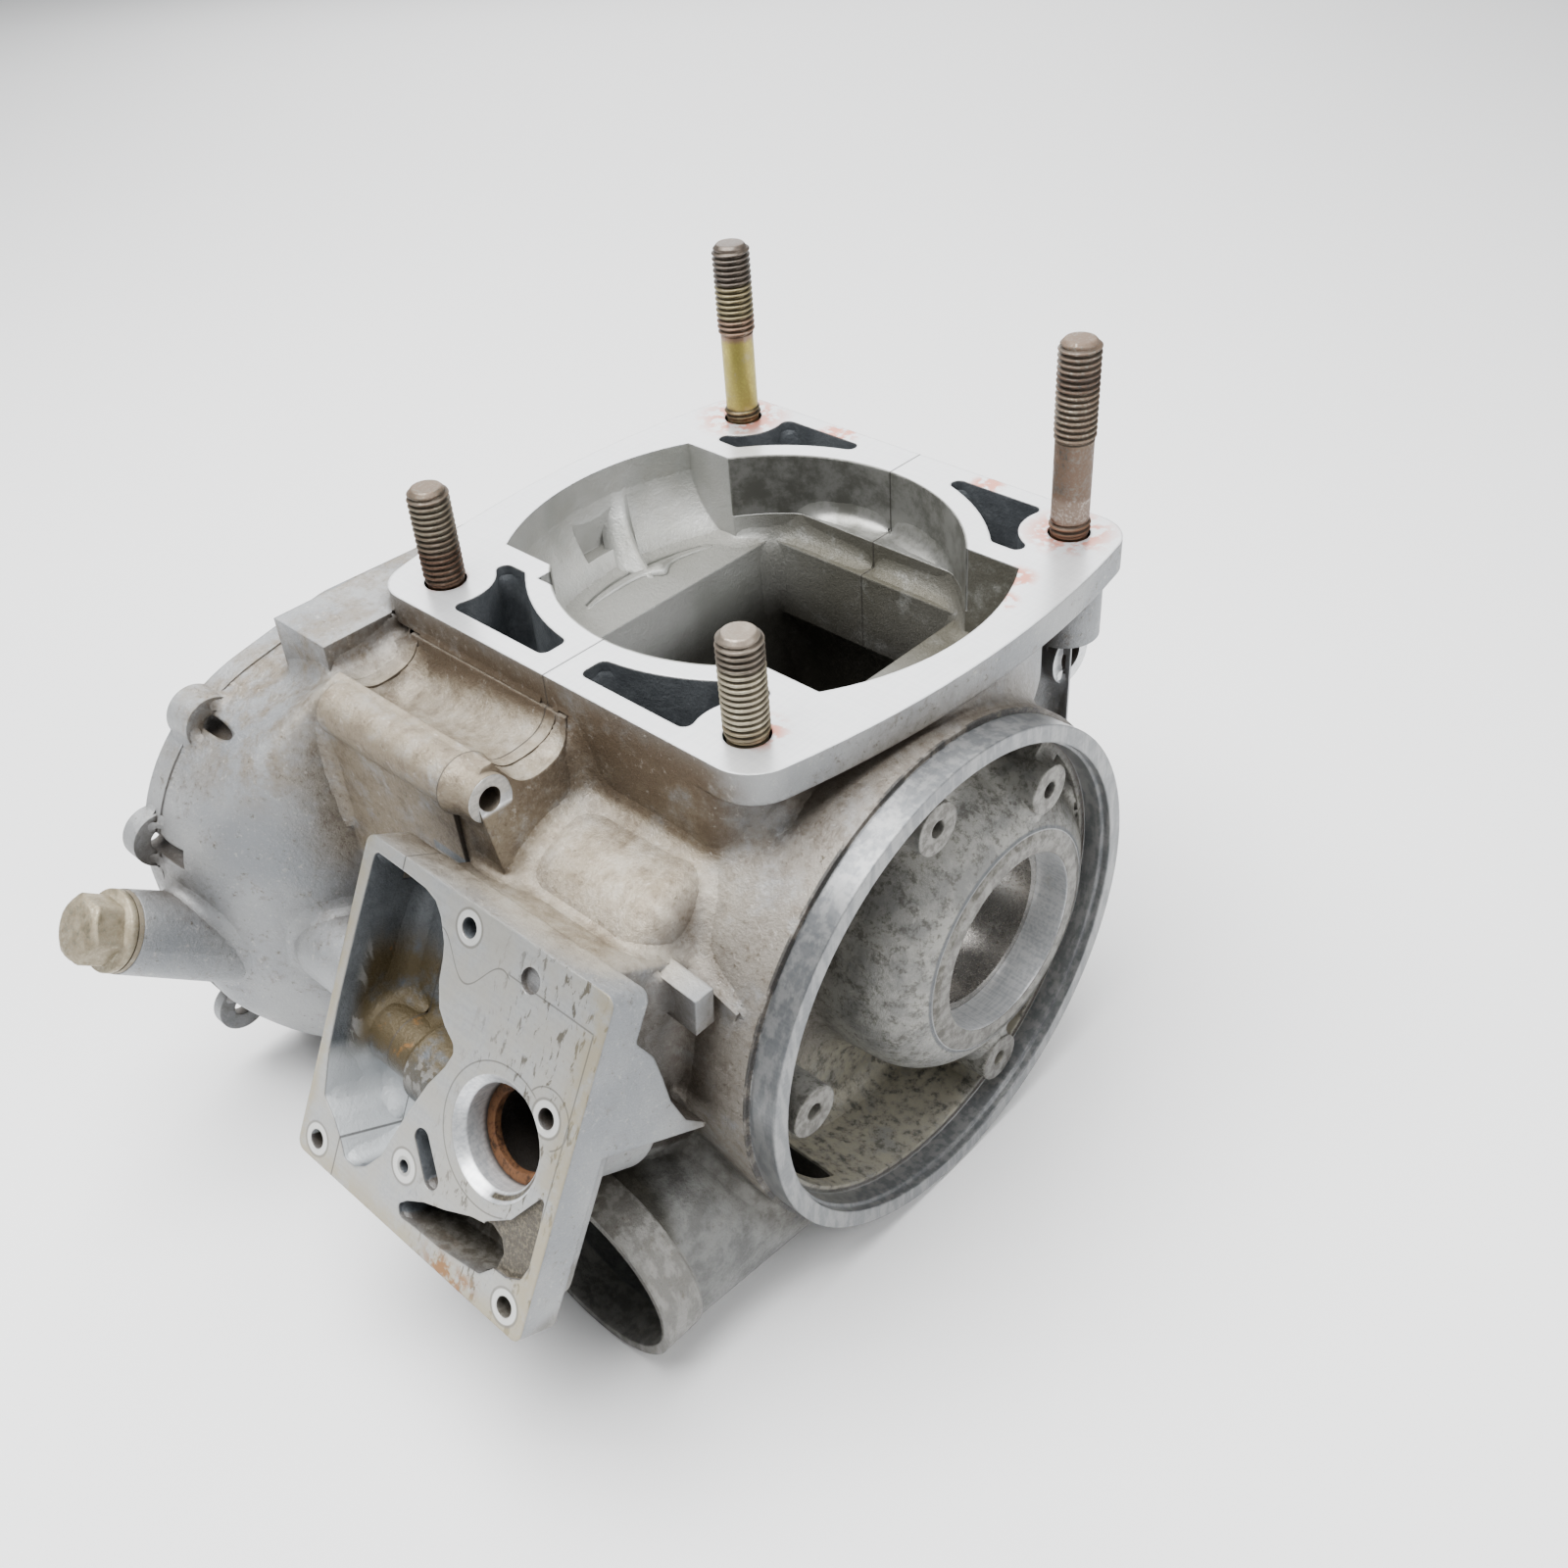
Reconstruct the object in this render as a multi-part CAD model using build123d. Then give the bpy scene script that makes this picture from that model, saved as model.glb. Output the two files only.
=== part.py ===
from build123d import *
from math import cos, sin, radians, sqrt, atan2, degrees
import os

os.makedirs("parts", exist_ok=True)

# Crankcase of a single-cylinder engine: two aluminium castings joined on a plane across the
# crankshaft, four cylinder studs, a filler plug and the steel sleeves of the main bearings.
# X is the crankshaft axis and Z the cylinder axis. The origin is where they cross.
# The right casting lies on +X and carries the round magneto housing. The flange for the
# pump housing faces the front, which is -Y, and leans back.

# Cylinder deck
deck_height = 93.5        # crankshaft axis to deck
deck_front = 76.5
deck_back = 75.0
deck_side = 83.5          # half width at the widest place
deck_front_half = 71.5    # half width at the front corners
deck_back_half = 76.0
deck_corner_r = 13.0
deck_lip = 9.0            # thickness of the deck's overhanging edge
deck_pocket_depth = 34.0
pocket_half = 59.0        # the pockets end this far from the cylinder axis
pocket_corner_r = 2.5
seam_wall = 7.0           # deck material each side of the joint between the castings
deck_wall = 6.0

# Cylinder seat
seat_r = 58.0
seat_y = 2.5              # the cylinder stands a little behind the crankshaft
seat_depth = 20.0
ledge_depth = 29.0
shelf_half = 49.5         # shelves stand in front of and behind this half length
lobe_r = 73.0             # side openings reach out to this radius
lobe_foot_r = 62.0        # and curve in to this one at the ledge
lobe_straight = 3.0      # their wall is upright down to this depth
lobe_front = 39.0
lobe_back = 38.0
port_wall = 7.0
panel_back = 12.6         # upright panel in the left opening
panel_front = -6.0
panel_depth = 24.0
groove_r = 58.0           # curved groove in the left ledge
groove_wide = 1.3
groove_front = -18.0
groove_back = 29.0

# Cylinder studs
stud_d = 12.0
stud_depth = 30.0
front_stud_x = 58.1
front_stud_y = 62.35
front_stud_out = 28.8
waist_half = front_stud_x + 7.0
rear_stud_x = 63.1
rear_stud_y = 62.35
rear_stud_out = 56.4
stud_boss_r = 14.0
stud_out_r = 5.85         # of the end that stands out of the deck
stud_neck_r = 5.1
stud_neck = 1.0           # the neck reaches this far above the deck
stud_chamfer = 1.4
stud_column_r = 10.5      # round each stud, beneath the deck
front_column_r = 9.0
knob_y = -60.5            # small round knob on the front right column
knob_z = 72.0
stud_column = 32.0        # from the deck down
knob_r = 3.5

# Crank chamber and main bearings
crank_r = 60.0
crank_half_width = 38.0
crank_wall = 8.0
slot_half_length = 46.0
bearing_r = 27.9
sleeve_wall = 2.6
sleeve_length = 26.0
sleeve_recess = 11.0      # sleeve sits back from the boss face
left_sleeve_length = 12.0

# Magneto housing on the right casting
ring_y = -25.7
ring_z = 5.8
rim_face = 95.5
rim_r = 74.9
rim_length = 8.5
rim_inner_r = 70.0
register_depth = 2.6
inner_step_r = 69.2
inner_step_depth = 9.0
drum_r = 76.3
drum_back = 40.0
cavity_r = 67.5
cavity_floor = 57.0
hub_face = 92.5
hub_face_r = 32.3
hub_r = 47.5
hub_shoulder = 76.0
boss_face = 92.0
boss_r = 7.5
boss_hole_r = 2.5
boss_radius = 57.0        # boss centres from the ring's centre
boss_angles = (43.0, 97.0, 184.0, -66.0)

# Front gear chamber
gear_y = -87.0
gear_z = 26.0
gear_r = 24.0
gear_left = -38.0
gear_right = 50.0
gear_front = -116.0
gear_top = 62.5
gear_bottom = -14.0
gear_step_x = 12.0        # the bulge starts this far right of the joint
gear_end_x = 61.0
gear_round = 32.0         # outer radius of the bulge
gear_end_r = 10.0
gear_shaft_r = 12.0

# Pump flange
flange_lean = 29.0
flange_y = -125.6
flange_z = 66.8
flange_left = -15.5
flange_right = 76.5
flange_length = 92.0
flange_thick = 11.0
flange_corner_r = 3.0
arm_length = 46.0
arm_right = 64.0
arm_bottom = 43.8         # distance down the flange to the underside of the arm
# Side wall of the arm, as distance behind the flange and distance down it
arm_side = ((10.0, 11.0), (11.4, 13.8), (18.7, 18.5), (24.3, 25.2), (29.8, 32.5), (38.3, 40.0),
            (46.6, 42.6), (46.6, 43.8), (10.0, 43.8))
big_pocket_depth = 20.0
# Outlines of the flange's pockets, as X and distance down the flange
big_pocket_shape = ((-11.5, 4.0), (1.8, 4.3), (9.6, 4.7), (14.0, 6.0), (17.0, 8.8), (20.2, 14.2),
                    (21.1, 18.0), (21.7, 23.8), (23.9, 29.9), (27.3, 33.2), (31.5, 35.8), (32.4, 38.0),
                    (30.7, 42.7), (26.5, 49.8), (22.2, 60.0), (16.6, 76.0), (12.0, 82.0), (8.0, 84.5),
                    (3.8, 84.8), (0.0, 80.5), (-4.0, 77.0), (-9.4, 73.5), (-11.8, 60.5), (-12.4, 47.7),
                    (-12.2, 26.3))
crescent_shape = ((26.5, 84.0), (29.4, 81.4), (35.2, 78.3), (42.6, 75.8), (51.5, 72.0), (57.9, 70.5),
                  (61.9, 72.0), (63.6, 75.1), (62.6, 79.6), (58.7, 83.6), (51.8, 84.7), (43.3, 85.9),
                  (34.2, 86.3), (28.1, 86.8))
crescent_depth = 14.0
shallow_shape = ((56.0, 70.5), (64.0, 65.0), (69.5, 57.0), (72.3, 53.0), (73.0, 61.9), (73.2, 72.4),
                 (71.6, 76.8), (67.0, 79.2), (62.0, 79.5), (58.0, 76.0))
shallow_depth = 1.2
kidney_place = (32.3, -67.6)
kidney_turn = 50.0
kidney_long = 15.5
kidney_wide = 5.4
dimple_place = (50.6, -9.0)
dimple_r = 3.2
dimple_depth = 1.5
# Shaft housing that crosses the big pocket
shaft_y = -137.0
shaft_z = 8.5
shaft_r = 9.0
shaft_step_x = 10.0
shaft_end = 34.0
shell_depth = 24.0
shell_left_depth = 21.0   # behind the flange in front of the left casting
pump_bore_x = 52.5
pump_bore_s = 50.0
pump_bore_r = 13.0
pump_bore_chamfer = 2.4
pump_bore_depth = 34.0
pump_bore_wall = 3.0
seal_r = 10.2
seal_depth = 9.0
seal_thick = 2.0
flange_holes = ((27.3, 6.8), (66.1, 36.5), (-8.4, 86.0), (69.0, 86.0))
flange_hole_r = 2.6
flange_hole_depth = 16.0
small_hole = (25.3, 73.9)
small_hole_r = 1.7

# Air duct into the magneto housing
duct_x = 53.0
duct_z = -43.0
duct_rx = 32.0
duct_rz = 27.5
duct_mouth_y = -133.5
duct_lip = 12.0
duct_lip_step = 0.8
duct_wall = 2.8
duct_flare = 3.5          # the duct widens towards the housing
duct_end_y = -50.0
duct_open_y = -66.0

# Left casting
body_top = deck_height - 9.5
body_front = -110.5
tower_back = 74.0
neck_x = -57.0            # the body widens from here to the open side
cover_x = -112.0
cover_flange = 8.0
cover_wall = 7.0
cover_floor = -50.0
gear_roof_x = -86.0       # the gear side is lower than the deck pockets right of here
gear_roof = 55.0
roof_step = 2.7           # the roof slab stands above the body
roof_left = -91.0
roof_right = -66.5
roof_front = -99.0
trough_left = -66.0
trough_shelf = 12.0       # shallow left end of the trough
trough_shelf_depth = 7.5
trough_depth = 13.0
trough_end_depth = 6.7    # at the joint
# Section of the trough, as Y and share of its depth
trough_shape = ((-77.5, -0.3), (-78.3, 0.3), (-81.5, 0.75), (-86.5, 0.96), (-91.5, 1.0), (-95.5, 0.88),
                (-98.7, 0.5), (-101.0, 0.0), (-101.6, -0.3))
rim_end = 4.0             # rim of the right casting at the end of the trough
rim_step = 2.2
rim_second_end = 7.5
saddle_end = 15.0
saddle_low = 25.0         # the slope beside the rim ends this far below the body's top
lug_r = 8.5
lug_hole_r = 3.3
lug_list = ((-121.0, 58.0, 11.0), (-145.0, 28.5, 6.5), (-139.0, -47.0, 4.0),
            (-60.0, -62.0, 6.0), (40.0, -57.0, 6.0), (60.0, 30.0, 6.0), (0.0, 66.0, 6.0))

# Rounds that the outline of the left casting is drawn round, as centre Y, centre Z and radius
body_corner_r = 9.5
body_corner_z = body_top - body_corner_r
neck_rounds = ((body_front + body_corner_r, body_corner_z, body_corner_r), (-94.0, -42.0, 14.0),
               (-2.0, 0.0, 68.5), (52.0, body_top - 14.0, 14.0), (-70.0, body_top - 23.8, 23.8))
cover_rounds = ((-92.5, 13.0, 56.5), (-92.5, -13.5, 56.5), (-2.0, 0.0, 69.5), (42.0, 50.0, 22.0),
                (-70.0, 50.0, 24.5))
flare_steps = ((-57.0, 0.0), (-68.0, 0.5), (-84.0, 0.88), (-104.0, 1.0))

# Shaft housing that stands out of the body beside the flange
belly_y = -121.0
belly_z = -5.0
belly_r = 13.0
belly_left = -64.0

# Case bolt boss beside the joint
case_boss_y = -105.3
case_boss_z = 76.6
case_boss_r = 6.5
case_boss_end = 10.0
case_boss_root_r = 8.6    # at the joint
case_boss_taper = 6.0
case_thread_depth = 13.0
ridge_r = 7.6             # ridge of the left casting in line with the boss
case_bolt_r = 3.3
case_thread_r = 2.5

# Ribs on the right of the gear chamber, from one end of the ridge to the other
rib_list = (((50.0, -101.0, 50.8), (76.7, -101.0, 48.2)), ((60.0, -92.5, 47.0), (81.0, -92.5, 40.0)))
rib_wide = 6.0
rib_high = 12.0

# Filler spout and plug
spout_x = -95.0
spout_y = -145.5
spout_z = -4.0
spout_lean = 40.0         # rises towards the front
spout_r = 12.2
spout_foot_r = 13.2
spout_length = 30.5
spout_root = 16.0
plug_thread_r = 7.0
plug_thread_length = 14.0
washer_r = 12.0
washer_thick = 1.5
plug_flange_r = 12.0
plug_flange_thick = 2.5
plug_hex_r = 10.4
plug_hex_length = 9.5

# Rear engine lug
rear_lug_x = 62.0
rear_lug_y = 69.0
rear_lug_z = 48.5
rear_lug_r = 9.0
rear_lug_hole_r = 4.7
rear_lug_length = 22.0
rear_pocket_y = 33.0      # the right wall steps in behind this line
rear_pocket_x = 48.0
rear_pocket_r = 9.0

fit_gap = 0.02            # free space round a piece that is pushed into its seat
overcut = 1.0             # how far a cut runs past the face it starts from
reach = 400.0             # longer than the part


def along_x(profile, x0, x1):
    """Extrude a profile drawn in Y and Z from x0 to x1."""
    return extrude(Plane.YZ.offset(x0) * profile, amount=x1 - x0)


def along_z(profile, z0, z1):
    return extrude(Plane.XY.offset(z0) * profile, amount=z1 - z0)


def rod_x(y, z, r, x0, x1):
    return along_x(Pos(y, z) * Circle(r), x0, x1)


def box_between(x0, x1, y0, y1, z0, z1):
    return Pos((x0 + x1) / 2, (y0 + y1) / 2, (z0 + z1) / 2) * Box(x1 - x0, y1 - y0, z1 - z0)


def rounded_rect(y0, y1, z0, z1, r):
    return Pos((y0 + y1) / 2, (z0 + z1) / 2) * RectangleRounded(y1 - y0, z1 - z0, r)


flange_plane = Plane(origin=(0, flange_y, flange_z), x_dir=(1, 0, 0),
                     z_dir=(0, -cos(radians(flange_lean)), sin(radians(flange_lean))))


arm_plane = Plane(origin=(arm_right - 4, flange_y, flange_z), z_dir=(1, 0, 0),
                  x_dir=(0, cos(radians(flange_lean)), -sin(radians(flange_lean))))


def from_flange(profile, start, end):
    """Extrude a profile drawn on the flange face from one depth to another behind it."""
    return extrude(flange_plane.offset(-start) * profile, amount=start - end)


def flange_rect(x0, x1, s0, s1, r):
    """A rectangle on the flange, where s is the distance below its top edge."""
    return Pos((x0 + x1) / 2, -(s0 + s1) / 2) * RectangleRounded(x1 - x0, s1 - s0, r)


def deck_outline():
    front = Line((-deck_front_half, -deck_front), (deck_front_half, -deck_front))
    right = ThreePointArc((deck_front_half, -deck_front), (deck_side, 0), (deck_back_half, deck_back))
    back = Line((deck_back_half, deck_back), (-deck_back_half, deck_back))
    left = ThreePointArc((-deck_back_half, deck_back), (-deck_side, 0), (-deck_front_half, -deck_front))
    outline = make_face(Curve() + [front, right, back, left])
    return fillet(outline.vertices(), deck_corner_r)


def seat_outline(grow):
    """The cylinder seat with its two side openings, wider all round by grow."""
    lobes = Circle(lobe_r + grow) & (Pos(0, (lobe_back - lobe_front) / 2 - seat_y)
                                     * Rectangle(3 * lobe_r, lobe_back + lobe_front + 2 * grow))
    return Pos(0, seat_y) * (Circle(seat_r + grow) + lobes)


def stud_places():
    return {
        "stud_front_left": (-front_stud_x, -front_stud_y, front_stud_out),
        "stud_front_right": (front_stud_x, -front_stud_y, front_stud_out),
        "stud_rear_left": (-rear_stud_x, rear_stud_y, rear_stud_out),
        "stud_rear_right": (rear_stud_x, rear_stud_y, rear_stud_out),
    }


def deck_pockets():
    """Four blind pockets in the deck, between the seat, the outer wall and the studs."""
    front = deck_front - deck_wall
    back = deck_back - deck_wall
    field = Pos(0, (back - front) / 2) * Rectangle(2 * pocket_half, front + back)
    field -= seat_outline(port_wall)
    field -= Rectangle(2 * seam_wall, 3 * deck_back)
    for x, y, _ in stud_places().values():
        field -= Pos(x, y) * Circle(stud_boss_r)
    cuts = None
    for face in field.faces():
        small = offset(Sketch() + face, amount=-pocket_corner_r, kind=Kind.INTERSECTION)
        soft = offset(small, amount=pocket_corner_r, kind=Kind.ARC)
        cut = along_z(soft, deck_height - deck_pocket_depth, deck_height + 1)
        cuts = cut if cuts is None else cuts + cut
    return cuts


def case_outline(share, grow):
    """Outline of the left casting in Y and Z, from its neck (0) to its open side (1)."""
    edges = []
    for near, far in zip(neck_rounds, cover_rounds):
        y, z, r = (n + share * (f - n) for n, f in zip(near, far))
        edges += (Pos(y, z) * CenterArc((0, 0), r + grow, 0, 360)).edges()
    return make_hull(edges)


def tower(side):
    """The block that carries the deck, on one side of the joint."""
    lip = deck_height - deck_lip
    waist = Pos(0, (tower_back - deck_front) / 2) * RectangleRounded(
        2 * waist_half, tower_back + deck_front, deck_corner_r)
    block = along_z(waist, 0, lip)
    if side > 0:
        block -= rear_pocket()
    block += along_z(deck_outline(), lip, deck_height)
    block += along_z(seat_outline(port_wall), deck_height - ledge_depth - port_wall, lip)
    for x, y, _ in stud_places().values():
        r = stud_column_r if y > 0 else front_column_r
        block += along_z(Pos(x, y) * Circle(r), deck_height - stud_column, lip)
    return block & box_between(min(0, side * reach), max(0, side * reach), -reach, reach, -reach, reach)


def rear_pocket():
    """The right wall of the tower steps in behind the magneto housing."""
    cut = Pos((rear_pocket_x + reach) / 2, (rear_pocket_y + reach) / 2) * RectangleRounded(
        reach - rear_pocket_x, reach - rear_pocket_y, rear_pocket_r)
    return along_z(cut, -reach, deck_height - deck_lip) & box_between(
        0, reach, 0, tower_back - rear_pocket_r, -reach, reach)


def chamber_cuts():
    """Everything cut from both castings: seat, ledge, slot and crank chamber."""
    seat = along_z(Pos(0, seat_y) * Circle(seat_r), deck_height - seat_depth, deck_height + overcut)
    bowl = lobe_bowl() & along_z(seat_outline(0) & (Pos(0, seat_y) * Rectangle(3 * lobe_r, 2 * shelf_half)),
                                 0, deck_height + overcut)
    slot = box_between(-crank_half_width, crank_half_width, -slot_half_length, slot_half_length,
                       0, deck_height)
    crank = rod_x(0, 0, crank_r, -crank_half_width, crank_half_width)
    return seat + bowl + slot + crank


def lobe_bowl():
    """Round opening whose wall curves in to the ledge at its foot."""
    ledge = deck_height - ledge_depth
    straight = deck_height - lobe_straight
    across = lobe_r - lobe_foot_r
    arc = ThreePointArc((lobe_foot_r, ledge), (lobe_r - 0.3 * across, ledge + 0.35 * (straight - ledge)),
                        (lobe_r, straight))
    rest = Polyline((lobe_r, straight), (lobe_r, deck_height + overcut), (0, deck_height + overcut),
                    (0, ledge), (lobe_foot_r, ledge))
    bowl = revolve(Plane.XZ * make_face(Curve() + [arc, rest]), Axis.Z, 360)
    return Pos(0, seat_y, 0) * bowl


def right_case():
    half = tower(1)
    # Crank chamber wall and front gear bulge
    half += rod_x(0, 0, crank_r + crank_wall, 0, drum_back + 10)
    half += gear_bulge()
    half += along_x(rounded_rect(body_front, 0, gear_bottom, gear_top - 4, 12), 0, gear_step_x)
    # Magneto drum and its machined rim
    half += rod_x(ring_y, ring_z, drum_r, drum_back, rim_face - rim_length)
    half += rod_x(ring_y, ring_z, rim_r, rim_face - rim_length - 1, rim_face)
    # Shoulder between drum and tower
    half += box_between(drum_back - 10, waist_half, -60, rear_pocket_y, 10, deck_height - deck_lip)
    half += Pos(front_stud_x + front_column_r - 1, knob_y, knob_z) * Sphere(knob_r)
    # Arm that carries the pump flange
    half += from_flange(flange_rect(flange_left, flange_right, 0.5, flange_length, flange_corner_r),
                        0, flange_thick)
    half += from_flange(flange_rect(2, arm_right, 2, arm_bottom, 2), flange_thick - 1, arm_length)
    side = make_face(Polyline(*[(depth, -down) for depth, down in arm_side], close=True))
    half += extrude(arm_plane * side, amount=flange_right - arm_right + 4)
    half += from_flange(flange_rect(1, 32, 2, flange_length - 2, 6), flange_thick - 1, shell_depth)
    half += from_flange(flange_rect(flange_left + 1, 20, 12, flange_length - 2, 6),
                        flange_thick - 1, shell_left_depth)
    half += from_flange(flange_rect(20, flange_right - 5, 40, flange_length - 2, 6),
                        flange_thick - 1, flange_thick + 8)
    half += from_flange(Pos(pump_bore_x, -pump_bore_s) * Circle(pump_bore_r + pump_bore_wall),
                        flange_thick - 1, pump_bore_depth + 5)
    # Air duct
    half += duct_outer()
    # Case bolt boss, the rim at the end of the trough, and the ribs
    half += saddle()
    boss = Pos(case_boss_y, case_boss_z)
    half += loft([Plane.YZ * boss * Circle(case_boss_root_r),
                  Plane.YZ.offset(case_boss_taper) * boss * Circle(case_boss_r)])
    half += rod_x(case_boss_y, case_boss_z, case_boss_r, 0, case_boss_end)
    for start, end in rib_list:
        half += rib(Vector(start), Vector(end))
    # Rear engine lug, hung beneath the stud column
    half += rod_x(rear_lug_y, rear_lug_z, rear_lug_r, rear_lug_x - rear_lug_length, rear_lug_x)
    half += box_between(rear_lug_x - rear_lug_length, rear_lug_x - 3, rear_lug_y - rear_lug_r + 1,
                        rear_lug_y + rear_lug_r - 5, rear_lug_z, deck_height - stud_column + 2)
    half += box_between(rear_lug_x - rear_lug_length, rear_lug_x - 6, rear_lug_y - rear_lug_r - 6,
                        rear_lug_y + rear_lug_r - 7, rear_lug_z - 2.5 * rear_lug_r, rear_lug_z)

    half -= chamber_cuts()
    half -= magneto_cavity()
    half += magneto_hub()
    half += magneto_bosses()
    half -= rod_x(0, 0, bearing_r, 0, hub_face + 1)
    half -= duct_inner()
    half -= rod_x(gear_y, gear_z, gear_r, -1, gear_right)
    half -= rod_x(gear_y, gear_z, gear_shaft_r, -1, gear_right + 8)
    half -= deck_pockets()
    half -= flange_cuts()
    half -= rod_x(case_boss_y, case_boss_z, case_bolt_r, -1, case_boss_end + 1)
    half -= rod_x(rear_lug_y, rear_lug_z, rear_lug_hole_r, 0, rear_lug_x + 1)
    half -= stud_holes()
    half -= box_between(-reach, 0, body_front - overcut, reach, -reach, reach)
    return half


def trough_profile(depth):
    """U-shaped section of the trough in Y and Z, depth below the top of the body."""
    bottom = Spline(*[(y, body_top - share * depth) for y, share in trough_shape])
    (y0, share0), (y1, share1) = trough_shape[0], trough_shape[-1]
    lid = Polyline((y1, body_top - share1 * depth), (y1, deck_height + overcut),
                   (y0, deck_height + overcut), (y0, body_top - share0 * depth))
    return make_face(Curve() + [bottom, lid])


def saddle():
    """Rim of the right casting that closes the trough, stepping down to the gear chamber."""
    low = body_top - saddle_low
    outline = Polyline((0, low - 10), (0, body_top), (rim_second_end, body_top), (saddle_end, low),
                       (saddle_end, low - 10), close=True)
    front = body_front + 1.5
    block = extrude(Plane.XZ.offset(-front) * make_face(outline), amount=-(-deck_front - front + overcut))
    block &= along_x(rounded_rect(front, 0, low - 20, body_top + 1, 9), 0, reach)
    block -= along_x(trough_profile(trough_end_depth), -overcut, rim_end)
    return block - along_x(trough_profile(trough_end_depth + rim_step), rim_end, reach)


def gear_bulge():
    """Outside of the gear chamber, round at the front and at its right end."""
    round_y = gear_front + gear_round
    round_z = gear_top - gear_round
    slant = gear_round * cos(radians(45))
    straight = Polyline((gear_front, round_z), (gear_front, gear_bottom), (0, gear_bottom), (0, gear_top),
                        (round_y, gear_top))
    arc = ThreePointArc((round_y, gear_top), (round_y - slant, round_z + slant), (gear_front, round_z))
    bulge = along_x(make_face(Curve() + [straight, arc]), gear_step_x, gear_end_x)
    end_edges = bulge.faces().sort_by(Axis.X)[-1].edges()
    soft = [e for e in end_edges if e.center().Z > gear_bottom + 1 and e.center().Y < -1]
    return fillet(soft, gear_end_r)


def rib(start, end):
    """A straight rib whose top runs from start to end."""
    along = (end - start).normalized()
    top = Plane(origin=(start + end) * 0.5, x_dir=along, z_dir=Vector(0, -1, 0).cross(along))
    return top * Pos(0, 0, -rib_high / 2) * Box((end - start).length, rib_wide, rib_high)


def duct_outer():
    mouth = Plane(origin=(duct_x, duct_mouth_y, duct_z), x_dir=(1, 0, 0), z_dir=(0, 1, 0))
    oval = Ellipse(duct_rx, duct_rz)
    lip = extrude(mouth * oval, amount=duct_lip)
    behind = mouth.offset(duct_lip - 1)
    thin = Ellipse(duct_rx - duct_lip_step, duct_rz - duct_lip_step)
    wide = Ellipse(duct_rx + duct_flare, duct_rz + duct_flare)
    end = mouth.offset(duct_end_y - duct_mouth_y)
    return lip + loft([behind * thin, end * wide])


def duct_inner():
    mouth = Plane(origin=(duct_x, duct_mouth_y - 1, duct_z), x_dir=(1, 0, 0), z_dir=(0, 1, 0))
    return extrude(mouth * Ellipse(duct_rx - duct_wall, duct_rz - duct_wall),
                   amount=duct_open_y - duct_mouth_y + 1)


def magneto_cavity():
    register = rod_x(ring_y, ring_z, rim_inner_r, rim_face - register_depth, rim_face + overcut)
    step = rod_x(ring_y, ring_z, inner_step_r, rim_face - inner_step_depth, rim_face)
    return register + step + rod_x(ring_y, ring_z, cavity_r, cavity_floor, rim_face)


def magneto_hub():
    """Domed hub round the main bearing, turned about the crankshaft axis."""
    foot = (hub_r + 1.5, cavity_floor - 2)
    profile = Polyline((bearing_r - 2, cavity_floor - 2), foot, (hub_r, hub_shoulder))
    dome = ThreePointArc((hub_r, hub_shoulder), (hub_face_r + 9.5, hub_face - 5.2), (hub_face_r, hub_face))
    top = Polyline((hub_face_r, hub_face), (bearing_r - 2, hub_face), (bearing_r - 2, cavity_floor - 2))
    face = make_face(Curve() + [profile, dome, top])
    # Drawn with the radius along local x and the crankshaft axis along local y
    hub = revolve(Plane(origin=(0, 0, 0), x_dir=(0, 1, 0), z_dir=(0, 0, -1)) * face, Axis.X, 360)
    inside = rod_x(ring_y, ring_z, cavity_r + 1, cavity_floor - 2, hub_face)
    return hub & inside


def boss_places():
    return [(ring_y + boss_radius * cos(radians(a)), ring_z + boss_radius * sin(radians(a)))
            for a in boss_angles]


def magneto_bosses():
    bosses = None
    for y, z in boss_places():
        out = atan2(z - ring_z, y - ring_y)
        wall_y = ring_y + (cavity_r + 0.5) * cos(out)
        wall_z = ring_z + (cavity_r + 0.5) * sin(out)
        web = Pos((y + wall_y) / 2, (z + wall_z) / 2) * Rot(0, 0, degrees(out)) * Rectangle(
            sqrt((wall_y - y) ** 2 + (wall_z - z) ** 2), 1.5 * boss_r)
        lobe = (Pos(y, z) * Circle(boss_r)) + web
        one = along_x(lobe, cavity_floor - 1, rim_face - inner_step_depth - 0.2)
        one += rod_x(y, z, boss_r, cavity_floor - 1, boss_face)
        one -= rod_x(y, z, boss_hole_r, boss_face - 14, boss_face + 1)
        bosses = one if bosses is None else bosses + one
    return bosses


def soft_shape(points, r):
    """A pocket outline on the flange, its corners rounded with radius r."""
    face = make_face(Polyline(*[(x, -down) for x, down in points], close=True))
    small = offset(Sketch() + face, amount=-r, kind=Kind.INTERSECTION)
    return offset(small, amount=r, kind=Kind.ARC)


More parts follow.
